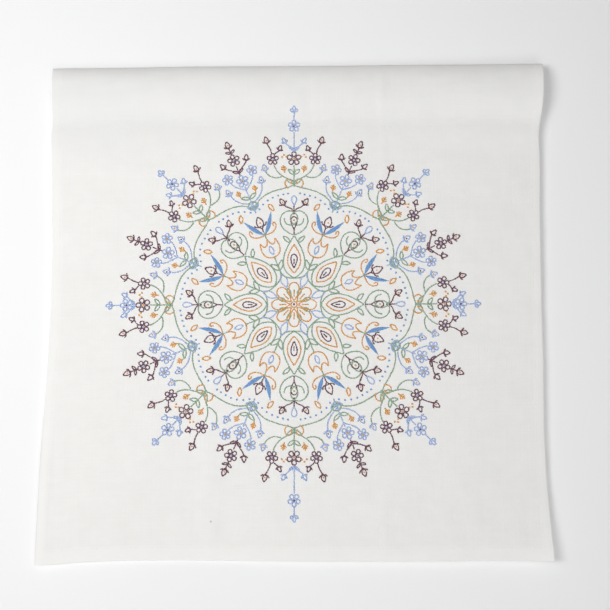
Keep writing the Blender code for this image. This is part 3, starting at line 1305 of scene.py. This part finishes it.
@dataclass
class Needle:
    """Lays stitches and knots on the hung cloth. Its sizes are in metres, and its angles in degrees.

    Spare is the share of a stitch that may be left over before a run takes one stitch more. A stitch is a
    little sunk into the cloth, and its tips, which reach on by a share of it, are sunk more.
    A knot's form is a row for each ring, in shares of its diameter, and its tips are the heights of the
    middle below and above.
    """

    shape: HungCloth
    stitch: float = 0.0027
    bend: float = 34.0
    corner: float = 55.0
    spare: float = 0.2
    wander: float = 0.00010
    unevenness: float = 0.08
    height: float = 0.52
    sunk: float = 0.00006
    tip_reach: float = 0.06
    tip_sunk: float = 0.00012
    knot_sides: int = 8
    knot_swell: float = 0.09
    knot_tips: Pair = (-0.05, 0.26)
    knot_form: Table = Table("radius height", (0.44, -0.05), (0.52, 0.20), (0.44, 0.44), (0.20, 0.42))
    shade_shift: float = 3.0
    seed: int = 11

    def __post_init__(self) -> None:
        """Start the seeded random numbers that make the hand's unevenness."""
        self.random = np.random.default_rng(self.seed)

    def holes(self, path: Array) -> list[Array]:
        """Find the needle holes along a path, with one at every sharp corner.

        Between corners they are evenly spaced, about a stitch's length apart, and closer on a tight bend.

        Args:
            path: Points across and down, N by 2.

        Returns:
            One run of holes for each piece of the path between corners.
        """
        apart = np.linalg.norm(np.diff(path, axis=0), axis=1) > TINY
        path = np.concatenate([path[:1], path[1:][apart]])
        step = np.diff(path, axis=0)
        turn = np.abs(np.diff(np.degrees(np.unwrap(np.arctan2(step[:, 1], step[:, 0])))))
        cuts = [0, *(np.nonzero(turn > self.corner)[0] + 1), len(path) - 1]
        reach = running_length(path)
        runs = []
        for a, b in zip(cuts[:-1], cuts[1:]):
            steps = max((reach[b] - reach[a]) / self.stitch, turn[a:b - 1].sum() / self.bend)
            count = max(1, math.ceil(steps - self.spare))
            runs.append(read_along(path, reach, np.linspace(reach[a], reach[b], count + 1)))
        return runs

    def satin(self, rails: list[Array], pitch: float, width: float) -> Strand:
        """Stitch side by side from rail to rail.

        Args:
            rails: The two rails, each N by 2.
            pitch: Distance between stitches along the middle between the rails.
            width: Width of the stitches.

        Returns:
            The stitches.
        """
        reach = running_length(sum(rails) / 2.0)
        at = np.arange(pitch / 2.0, reach[-1], pitch)
        return Strand(*(read_along(rail, reach, at) for rail in rails), np.full(len(at), width))

    def sew(self, strand: Strand, base: float, form: Spindle = Spindle.FINE, reverse: bool = False) -> Shell:
        """Give each stitch its form: a spindle over the cloth that dips into it at both ends.

        A stitch is rings of points between two tips. With a the angle round it, a point of a ring lies half
        the width times cos a beside the stitch's line, and the height times (1 + sin a) / 2 off the cloth.

        Args:
            strand: The stitches.
            base: Distance of the cloth's face there from the middle of the sheet.
            form: Form of the stitches.
            reverse: Lay them on the back of the cloth.

        Returns:
            The stitches as one surface. Its flat places are the length along a stitch and the share round it.
        """
        sides, rings = form.value
        places, full = rings["along"], rings["full"]
        count = len(strand.width)
        uneven = 1.0 + self.unevenness * self.random.standard_normal((count, 1))
        start = strand.start + self.wander * self.random.standard_normal((count, 2))
        end = strand.end + self.wander * self.random.standard_normal((count, 2))
        run = end - start
        length = np.linalg.norm(run, axis=1, keepdims=True)
        beside = np.stack([-run[:, 1], run[:, 0]], axis=1) / np.maximum(length, TINY)
        angle = FULL_TURN * (np.arange(sides) + 0.5) / sides
        across = (strand.width[:, None] * uneven / 2.0 * full)[:, :, None] * np.cos(angle)
        line = (start[:, None] + run[:, None] * places[:, None])[:, :, None]
        spots = line + beside[:, None, None] * across[..., None]
        tips = np.stack([start - self.tip_reach * run, end + self.tip_reach * run], axis=1)
        spots = np.concatenate([tips[:, :1], spots.reshape(count, -1, 2), tips[:, 1:]], axis=1)
        tall = self.height * strand.width[:, None] * uneven * full
        heights = tall[:, :, None] * (1.0 + np.sin(angle)) / 2.0 - self.sunk
        low = np.full((count, 1), -self.tip_sunk)
        heights = np.concatenate([low, heights.reshape(count, -1), low], axis=1)
        point, normal = self.shape.face_and_normal(spots[..., 0], spots[..., 1])
        points = point + (-normal if reverse else normal) * (base + heights)[..., None]
        share = np.concatenate([[0.0], np.repeat(places, sides), [1.0]])
        shift = self.random.uniform(0.0, self.shade_shift, (count, 1))
        return Shell.bodies(points, shift + share * length, sides, flip=reverse)

    def knots(self, places: Array, sizes: Array, base: float) -> Shell:
        """Tie French knots: low buns round the cloth's normal, with a dimple where the thread goes down.

        Each ring is a circle whose radius swells and shrinks twice round, as the coiled thread does.

        Args:
            places: Places across and down, N by 2.
            sizes: Diameters.
            base: Distance of the cloth's face from the middle of the sheet.

        Returns:
            The knots as one surface.
        """
        count, sides, form = len(sizes), self.knot_sides, self.knot_form
        angle = FULL_TURN * np.arange(sides) / sides
        phase = self.random.uniform(0.0, FULL_TURN, (count, 1, 1))
        swell = 1.0 + self.knot_swell * np.sin(2.0 * angle + phase)
        reach = sizes[:, None, None] * form["radius"][:, None] * swell
        ring = np.stack([reach * np.cos(angle), reach * np.sin(angle)], axis=3)
        spot = places[:, None, None] + self.wander * self.random.standard_normal((count, 1, 1, 2))
        spots = np.concatenate([spot[:, 0], (spot + ring).reshape(count, -1, 2), spot[:, 0]], axis=1)
        foot, dimple = self.knot_tips
        heights = sizes[:, None] * np.concatenate([[foot], np.repeat(form["height"], sides), [dimple]])
        point, normal = self.shape.face_and_normal(spots[..., 0], spots[..., 1])
        points = point + normal * (base + heights)[..., None]
        shift = self.random.uniform(0.0, self.shade_shift, (count, 1))
        return Shell.bodies(points, shift + heights, sides)


@dataclass(frozen=True)
class Embroidery:
    """The medallion sewn on the cloth, with one piece for each thread on the front and one on the back.

    A stitch behind covers two steps from hole to hole, as it does in back stitch.
    """

    needle: Needle
    centre: Pair = (-0.0026, 0.2517)
    line_width: float = 0.00140
    satin_width: float = 0.00086
    satin_pitch: float = 0.00062
    steps_behind: int = 2

    def on_cloth(self, points: Array) -> Array:
        """Points of the design, in millimetres, as places across and down on the cloth."""
        return np.array(self.centre) + points * np.array([MM, -MM])

    def build(self, design: Pattern) -> dict[Thread, list[bpy.types.Object]]:
        """Sew the design.

        Args:
            design: The whole design, in millimetres from its centre.

        Returns:
            The pieces of each thread.
        """
        needle, width = self.needle, self.line_width
        face = needle.shape.linen / 2.0
        made = {}
        for thread in Thread:
            paths = [self.on_cloth(path) for colour, path in design.lines if colour is thread]
            runs = [run for path in paths for run in needle.holes(path)]
            satin = [
                needle.satin([self.on_cloth(rail) for rail in rails], self.satin_pitch, self.satin_width)
                for colour, *rails in design.fills if colour is thread
            ]
            front = Strand.joined([Strand.along(run, width) for run in runs] + satin)
            back = Strand.joined([Strand.along(run, width, self.steps_behind) for run in runs] + satin)
            shells = [needle.sew(front, face)]
            knots = [
                (self.on_cloth(place), size * MM)
                for colour, place, size in design.knots if colour is thread
            ]
            if knots:
                places, sizes = zip(*knots)
                shells.append(needle.knots(np.array(places), np.array(sizes), face))
            rear = needle.sew(back, face, Spindle.PLAIN, reverse=True)
            made[thread] = [
                mesh_object(f"embroidery_{thread.value}", Shell.joined(shells)),
                mesh_object(f"embroidery_back_{thread.value}", rear),
            ]
            LOG.info("%s: %d stitches, %d knots", thread.value, len(front.width), len(knots))
        return made


@dataclass(frozen=True)
class HemSewing:
    """Running stitches of off-white thread that hold the hems and the pocket's flap.

    A pitch is a stitch and the gap after it. The rows lie on the hems, inside by a little from their inner
    edges, and the distance between the side rows serves to count the holes. The face of the flap is
    flap_behind away from the middle of the front layer.
    """

    needle: Needle
    pitch: float = 0.0026
    gap: float = 0.0007
    width: float = 0.00036
    inside: float = 0.0013
    between_lines: float = 0.48
    below_fold: float = 0.010
    below_seam: float = 0.0016
    flap_behind: float = 0.00115

    def run(self, start: Pair, end: Pair) -> Array:
        """Space holes evenly between two places.

        Args:
            start: Share of the width, from 0 at the left hem's sewing line to 1 at the right one's, and the
                distance down.
            end: The same of the other place.

        Returns:
            The holes, N by 2.
        """
        shape = self.needle.shape
        (share, down), (end_share, end_down) = start, end
        rough = math.dist((share * self.between_lines, down), (end_share * self.between_lines, end_down))
        t = np.linspace(0.0, 1.0, int(rough / self.pitch) + 1)
        down = down + (end_down - down) * t
        share = share + (end_share - share) * t
        left = shape.left(down) + shape.side_hem - self.inside
        right = shape.right(down) - shape.side_hem + self.inside
        return np.stack([left + (right - left) * share, down], axis=1)

    def build(self) -> bpy.types.Object:
        """Sew both side hems, the bottom hem and the seam of the pocket, on the front and on the back.

        Returns:
            All the stitches, less those on the back that the pocket's flap hides.
        """
        needle, shape = self.needle, self.needle.shape
        face = shape.linen / 2.0
        hem = face + shape.hem_extra
        top, foot = self.below_fold, shape.drop - shape.bottom_hem + self.inside
        seam = shape.pocket + self.below_seam
        shells = []
        for start, end, behind in (
            ((0.0, foot), (0.0, top), hem),
            ((1.0, top), (1.0, foot), hem),
            ((0.0, foot), (1.0, foot), hem),
            ((0.0, seam), (1.0, seam), self.flap_behind),
        ):
            run = self.run(start, end)
            step = np.diff(run, axis=0)
            ease = self.gap / 2.0 / self.pitch * step
            sewn = Strand(run[:-1] + ease, run[1:] - ease, np.full(len(step), self.width))
            seen = run[:-1, 1] >= shape.pocket
            kept = Strand(sewn.start[seen], sewn.end[seen], sewn.width[seen])
            shells.append(needle.sew(sewn, face, Spindle.PLAIN))
            shells.append(needle.sew(kept, behind, Spindle.PLAIN, reverse=True))
        return mesh_object("hem_stitches", Shell.joined(shells))


Socket = bpy.types.NodeSocket
Value = Socket | float | tuple


class Graph:
    """A material's nodes while they are put together."""

    def __init__(self, name: str) -> None:
        """Start a material with its shader and output.

        Args:
            name: Name of the material.
        """
        self.material = bpy.data.materials.new(name)
        self.material.use_nodes = True
        self.nodes = self.material.node_tree.nodes
        self.shader = self.nodes["Principled BSDF"]

    def set(self, socket: Socket, value: Value) -> None:
        """Link a socket to another, or give it a value.

        Args:
            socket: The socket, an input.
            value: Socket to link it to, or its value.
        """
        if isinstance(value, Socket):
            self.material.node_tree.links.new(value, socket)
        else:
            socket.default_value = value

    def add(self, kind: str, inputs: dict[str | int, Value], **settings: object) -> bpy.types.Node:
        """Add a node.

        Args:
            kind: Blender's name of the node's type.
            inputs: Links and values by a socket's name or place.
            settings: The node's own properties.

        Returns:
            The node.
        """
        node = self.nodes.new(kind)
        for name, value in settings.items():
            setattr(node, name, value)
        for key, value in inputs.items():
            self.set(node.inputs[key], value)
        return node

    def flat(self) -> Socket:
        """Coordinates of the piece's own UV map, in metres on a cloth."""
        return self.add("ShaderNodeUVMap", {}, uv_map="Flat").outputs[0]

    def attribute(self, name: str) -> Socket:
        """Values of the piece's own attribute."""
        return self.add("ShaderNodeAttribute", {}, attribute_name=name).outputs["Fac"]

    def split(self, vector: Socket) -> bpy.types.NodeOutputs:
        """The three coordinates of a vector."""
        return self.add("ShaderNodeSeparateXYZ", {0: vector}).outputs

    def noise(self, where: Socket, *scale: float, detail: float = 2.0, roughness: float = 0.55) -> Socket:
        """Add noise from 0 to 1.

        Args:
            where: Coordinates.
            scale: Scale on each axis, 1 on the third where it isn't given.
            detail: Octaves of finer noise.
            roughness: How much the finer noise shows.

        Returns:
            The noise.
        """
        mapped = self.add("ShaderNodeMapping", {"Vector": where, "Scale": (*scale, 1.0)[:3]})
        inputs = {"Vector": mapped.outputs[0], "Scale": 1.0, "Detail": detail, "Roughness": roughness}
        return self.add("ShaderNodeTexNoise", inputs).outputs[0]

    def math(self, operation: str, *values: Value) -> Socket:
        """Result of a sum on sockets and numbers."""
        return self.add("ShaderNodeMath", dict(enumerate(values)), operation=operation).outputs[0]

    def plus(self, one: Value, other: Value) -> Socket:
        """One value plus the other."""
        return self.math("ADD", one, other)

    def times(self, one: Value, other: Value) -> Socket:
        """One value times the other."""
        return self.math("MULTIPLY", one, other)

    def span(self, value: Socket, low: float, high: float, to_low: float, to_high: float) -> Socket:
        """Value mapped from one span to another, and kept inside it."""
        return self.add("ShaderNodeMapRange", {0: value, 1: low, 2: high, 3: to_low, 4: to_high}).outputs[0]

    def wave(self, value: Value) -> Socket:
        """Sine of a value, mapped to 0 to 1."""
        return self.span(self.math("SINE", value), -1.0, 1.0, 0.0, 1.0)

    def tinted(self, share: Socket, plain: Value, other: Value) -> Socket:
        """Colour between two by a share."""
        return self.add("ShaderNodeMix", {0: share, 6: plain, 7: other}, data_type="RGBA").outputs[2]

    def bump(self, height: Socket, distance: float) -> Socket:
        """Normal of a relief, whose height from 0 to 1 is times a distance in metres."""
        inputs = {"Height": height, "Distance": distance, "Strength": 1.0}
        return self.add("ShaderNodeBump", inputs).outputs[0]

    def finished(self, **inputs: Value) -> bpy.types.Material:
        """Set the shader's inputs, an even value on the shader's own socket.

        Args:
            inputs: Links and values by the names of the inputs, with _ for each space.

        Returns:
            The material.
        """
        for name, value in inputs.items():
            self.set(self.shader.inputs[name.replace("_", " ")], value)
        return self.material


@dataclass(frozen=True)
class LinenFinish:
    """Bleached plain-weave linen: uneven threads both ways, a fine weave, and one small spot near the bottom.

    Scales are in waves for each metre, shares say how much of a noise shows, and a span is where a change
    begins and ends.
    """

    colour: Colour = (0.818, 0.811, 0.791, 1.0)
    thin: Colour = (0.786, 0.778, 0.757, 1.0)
    # Painted light: the doubled hems are a little lighter, as less of the shade in the gap behind shows through
    # them.
    hem: Colour = (0.828, 0.821, 0.801, 1.0)
    # Painted shade: the darker colour that the pocket and the left edge's fold are tinted towards.
    pocket: Colour = (0.745, 0.741, 0.724, 1.0)
    spot: Colour = (0.360, 0.300, 0.240, 1.0)
    spot_place: Triple = (-0.0830, 0.0370, 0.0)
    spot_fade: Pair = (0.00066, 0.00154)
    spot_share: float = 0.75
    spot_scale: float = 1500.0
    spot_raggedness: float = 0.0006
    slub_scale: Pair = (14.0, 620.0)
    slub_share: float = 0.8
    cloud_scale: Pair = (16.0, 16.0)
    cloud_share: float = 0.6
    mottle_scale: Pair = (70.0, 110.0)
    uneven_span: Pair = (1.15, 2.05)
    # Painted light: how far the hems' layers tint them towards the lighter hem colour.
    hem_light_share: float = 0.7
    threads_each_metre: float = 1150.0
    weave_height: float = 0.00005
    slub_height: float = 1.6
    slub_span: Pair = (0.7, 1.3)
    roughness: Pair = (0.96, 0.86)
    specular: float = 0.25
    sheen: float = 0.08

    def shade(self, graph: Graph, flat: Socket, slub: Socket) -> Socket:
        """Mix the colour: thin and full threads, then the hems' painted light, the painted shade of the pocket
        and the left edge's fold, and the spot.

        Args:
            graph: The material's nodes.
            flat: Coordinates on the cloth.
            slub: Unevenness of the threads.

        Returns:
            The colour.
        """
        cloud = graph.times(graph.noise(flat, *self.cloud_scale, detail=3.0), self.cloud_share)
        patches = graph.plus(cloud, graph.noise(flat, *self.mottle_scale, detail=1.0))
        uneven = graph.plus(graph.times(slub, self.slub_share), patches)
        shade = graph.tinted(graph.span(uneven, *self.uneven_span, 0.0, 1.0), self.thin, self.colour)
        # Painted light: the hems are tinted lighter by their layers.
        shade = graph.tinted(graph.times(graph.attribute("layers"), self.hem_light_share), shade, self.hem)
        # Painted shade: the pocket and the left edge's fold are tinted darker, standing in for shade.
        shade = graph.tinted(graph.attribute("painted_shade"), shade, self.pocket)
        away = graph.add("ShaderNodeVectorMath", {0: flat, 1: self.spot_place}, operation="DISTANCE")
        ragged = graph.times(graph.noise(flat, self.spot_scale, self.spot_scale), self.spot_raggedness)
        near = graph.span(graph.plus(away.outputs["Value"], ragged), *self.spot_fade, self.spot_share, 0.0)
        return graph.tinted(near, shade, self.spot)

    def material(self) -> bpy.types.Material:
        """Make the finish. Slubs are noise stretched along both threads, and the weave is two sines' product.

        Returns:
            The material, which reads two attributes of the cloth: its layers, and its painted shade.
        """
        graph = Graph("linen_weave")
        flat = graph.flat()
        slub = graph.plus(graph.noise(flat, *self.slub_scale), graph.noise(flat, *self.slub_scale[::-1]))
        rate = FULL_TURN * self.threads_each_metre / 2.0
        over, under = (graph.math("SINE", graph.times(place, rate)) for place in graph.split(flat)[:2])
        weave = graph.span(graph.times(over, under), -1.0, 1.0, 0.0, 1.0)
        height = graph.plus(weave, graph.times(slub, self.slub_height))
        return graph.finished(
            Base_Color=self.shade(graph, flat, slub),
            Normal=graph.bump(height, self.weave_height),
            Roughness=graph.span(slub, *self.slub_span, *self.roughness),
            Specular_IOR_Level=self.specular,
            Sheen_Weight=self.sheen,
        )


@dataclass(frozen=True)
class CottonFinish:
    """Stranded cotton: twisted plies along each stitch, with painted shade in the grooves between them, and
    lighter and darker stitches.

    The lean is how many plies the wave moves on in going once round a stitch. The darkest stitches are the
    colour multiplied by darker, and the lightest are it multiplied by lighter's first number, with the
    second added.
    """

    name: str
    colour: Triple
    ply_pitch: float = 0.0011
    ply_height: float = 0.00009
    ply_lean: float = 2.0
    # Painted shade: the share of the colour's range that the ply wave takes, darkest in the grooves.
    ply_groove_shade: float = 0.35
    shade_scale: Pair = (140.0, 1.5)
    shade_span: Pair = (0.3, 0.7)
    shade_share: float = 0.65
    darker: float = 0.80
    lighter: Pair = (1.12, 0.01)
    roughness: Pair = (0.78, 0.62)
    specular: float = 0.35
    sheen: float = 0.15

    def material(self) -> bpy.types.Material:
        """Make the finish. Plies are a wave that leans round a stitch and darkens its grooves as painted shade;
        the tone is noise by length.

        Returns:
            The material.
        """
        graph = Graph(self.name)
        flat = graph.flat()
        along, round_it, _ = graph.split(flat)
        lean = graph.times(round_it, FULL_TURN * self.ply_lean)
        ply = graph.wave(graph.plus(graph.times(along, FULL_TURN / self.ply_pitch), lean))
        shade = graph.span(graph.noise(flat, *self.shade_scale), *self.shade_span, 0.0, self.shade_share)
        times, plus = self.lighter
        dark = (*(self.darker * c for c in self.colour), 1.0)
        light = (*(min(1.0, times * c + plus) for c in self.colour), 1.0)
        return graph.finished(
            # Painted shade: the ply wave darkens the colour in the grooves between plies, where the bump is
            # low.
            Base_Color=graph.tinted(graph.plus(graph.times(ply, self.ply_groove_shade), shade), dark, light),
            Normal=graph.bump(ply, self.ply_height),
            Roughness=graph.span(ply, 0.0, 1.0, *self.roughness),
            Specular_IOR_Level=self.specular,
            Sheen_Weight=self.sheen,
        )


@dataclass(frozen=True)
class WallFinish:
    """Matt white with faint clouding, for the wall and the floor."""

    colour: Colour = (0.86, 0.86, 0.86, 1.0)
    cloud_scale: Triple = (2.2, 2.2, 2.2)
    clouding: float = 0.985
    roughness: float = 0.9
    specular: float = 0.2

    def material(self, one_sided: bool) -> bpy.types.Material:
        """Make the finish.

        Args:
            one_sided: Make it clear from behind and to shadow rays, so that the back can be looked at.

        Returns:
            The material.
        """
        graph = Graph("white_wall" if one_sided else "pale_floor")
        cloud = graph.noise(graph.add("ShaderNodeTexCoord", {}).outputs["Object"], *self.cloud_scale)
        other = (*(self.clouding * c for c in self.colour[:3]), 1.0)
        if one_sided:
            behind = graph.add("ShaderNodeNewGeometry", {}).outputs["Backfacing"]
            shadow = graph.add("ShaderNodeLightPath", {}).outputs["Is Shadow Ray"]
            clear = graph.add("ShaderNodeBsdfTransparent", {}).outputs[0]
            share = graph.math("MAXIMUM", behind, shadow)
            mix = graph.add("ShaderNodeMixShader", {0: share, 1: graph.shader.outputs[0], 2: clear})
            graph.set(graph.nodes["Material Output"].inputs["Surface"], mix.outputs[0])
        return graph.finished(
            Base_Color=graph.tinted(cloud, self.colour, other),
            Roughness=self.roughness,
            Specular_IOR_Level=self.specular,
        )


@dataclass(frozen=True)
class SoftLight:
    """Square area light aimed at a point, in metres and watts."""

    name: str
    place: Triple
    aim: Triple
    size: float
    power: float

    def build(self) -> None:
        """Make the light, unseen itself by the camera."""
        data = bpy.data.lights.new(self.name, "AREA")
        data.size = self.size
        data.energy = self.power
        made = bpy.data.objects.new(self.name, data)
        made.location = self.place
        toward = Vector(self.aim) - Vector(self.place)
        made.rotation_euler = toward.to_track_quat("-Z", "Y").to_euler()
        made.visible_camera = False
        bpy.context.scene.collection.objects.link(made)


@dataclass(frozen=True)
class Studio:
    """The set: a white wall close behind the cloth, a pale floor, soft lights, and the camera.

    The camera looks at its target from a distance. Its angles are in degrees, and its lens in millimetres.
    """

    wall_behind: float = 0.0017
    floor_below: float = 1.60
    reach: float = 4.0
    wall_top: float = 3.0
    target: Triple = (0.0084, -0.0042, -0.2533)
    yaw: float = -1.2885
    pitch: float = 9.248
    roll: float = 0.1318
    distance: float = 0.95
    lens: float = 56.07
    sensor: float = 36.0
    fill: float = 0.17
    fill_colour: Colour = (0.97, 0.98, 1.0, 1.0)
    lights: tuple[SoftLight, ...] = (
        SoftLight("window", (-0.84, -1.30, -0.31), (-0.05, 0.0, 0.86), 0.65, 16.4),
        SoftLight("front", (0.08, -1.50, -0.25), (0.05, 0.0, 0.66), 1.1, 5.6),
        SoftLight("low", (0.20, -1.60, -1.85), (0.0, 0.0, -0.25), 1.3, 17.4),
        SoftLight("rear_left", (-1.3, 1.6, 0.3), (0.0, 0.0, -0.25), 1.2, 11.0),
        SoftLight("rear_right", (1.3, 1.6, 0.1), (0.0, 0.0, -0.25), 1.2, 7.5),
    )

    def plane(self, name: str, corners: list[Triple], material: bpy.types.Material) -> None:
        """Add a flat part of the set.

        Args:
            name: Its name.
            corners: Its corners, anticlockwise as its front is seen.
            material: Its finish.
        """
        mesh = bpy.data.meshes.new(name)
        mesh.from_pydata(corners, [], [tuple(range(len(corners)))])
        mesh.materials.append(material)
        made = bpy.data.objects.new(name, mesh)
        bpy.context.scene.collection.objects.link(made)
        made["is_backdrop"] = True

    def build(self, cloth_back: float) -> None:
        """Set up wall, floor, lights, pale surroundings and camera.

        Args:
            cloth_back: Place of the cloth's rearmost point, which the wall stands just behind.
        """
        y = cloth_back + self.wall_behind
        floor = CAD_BOX[0].z - self.floor_below
        finish, far, top = WallFinish(), self.reach, self.wall_top
        wall = [(-far, y, floor), (far, y, floor), (far, y, top), (-far, y, top)]
        self.plane("wall", wall, finish.material(one_sided=True))
        ground = [(-far, -far, floor), (far, -far, floor), (far, far, floor), (-far, far, floor)]
        self.plane("floor", ground, finish.material(one_sided=False))
        for light in self.lights:
            light.build()
        world = bpy.data.worlds.new("pale_room")
        world.use_nodes = True
        background = world.node_tree.nodes["Background"]
        background.inputs["Color"].default_value = self.fill_colour
        background.inputs["Strength"].default_value = self.fill
        bpy.context.scene.world = world
        bpy.context.scene.view_settings.view_transform = "Standard"
        self.camera()

    def camera(self) -> None:
        """Place the camera: its turn is yaw about the vertical, times pitch, times roll, from level."""
        yaw, pitch, roll, level = (
            Matrix.Rotation(math.radians(angle), 3, axis)
            for angle, axis in ((self.yaw, "Z"), (self.pitch, "X"), (self.roll, "Y"), (90.0, "X"))
        )
        turn = yaw @ pitch @ roll
        data = bpy.data.cameras.new("camera")
        data.lens = self.lens
        data.sensor_width = self.sensor
        made = bpy.data.objects.new("camera", data)
        place = Vector(self.target) - turn @ Vector((0.0, self.distance, 0.0))
        made.matrix_world = Matrix.Translation(place) @ (turn @ level).to_4x4()
        bpy.context.scene.collection.objects.link(made)
        bpy.context.scene.camera = made


@dataclass(frozen=True)
class WallHanging:
    """The whole piece: cloth, hem stitches and embroidery, each dressed and tied to the frame."""

    cut: Pair = (0.530, 0.600)
    hem_thread: CottonFinish = CottonFinish(
        "hem_thread", (0.800, 0.785, 0.755), ply_pitch=0.0006, ply_height=0.00004
    )
    colours: tuple[tuple[Thread, Triple], ...] = (
        (ORANGE, (0.740, 0.352, 0.085)),
        (GREEN, (0.290, 0.420, 0.300)),
        (SKY, (0.390, 0.500, 0.780)),
        (BLUE, (0.170, 0.340, 0.640)),
        (PLUM, (0.165, 0.065, 0.100)),
    )

    def dress(self, piece: bpy.types.Object, material: bpy.types.Material) -> None:
        """Give a piece its finish, and tie it to the frame.

        Args:
            piece: The piece.
            material: Its finish.
        """
        piece.data.materials.append(material)
        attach(piece, "root")

    def build(self) -> None:
        shape = HungCloth()
        needle = Needle(shape)
        cloth = Linen(shape).build()
        self.dress(cloth, LinenFinish().material())
        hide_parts(NODE)
        sewing = HemSewing(needle).build()
        self.dress(sewing, self.hem_thread.material())
        on_it = [sewing]
        sewn = Embroidery(needle).build(Medallion().whole())
        for thread, colour in self.colours:
            material = CottonFinish(f"cotton_{thread.value}", colour).material()
            for piece in sewn[thread]:
                self.dress(piece, material)
                on_it.append(piece)
        for piece in [cloth, *on_it]:
            piece.data.calc_loop_triangles()
            LOG.info("%s: %d triangles", piece.name, len(piece.data.loop_triangles))


def main() -> None:
    """Build the hanging and the set."""
    logging.basicConfig(level=logging.INFO, format="%(message)s")
    WallHanging().build()
    Studio().build(cloth_back=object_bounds()[1].y)


if __name__ == "__main__":
    main()
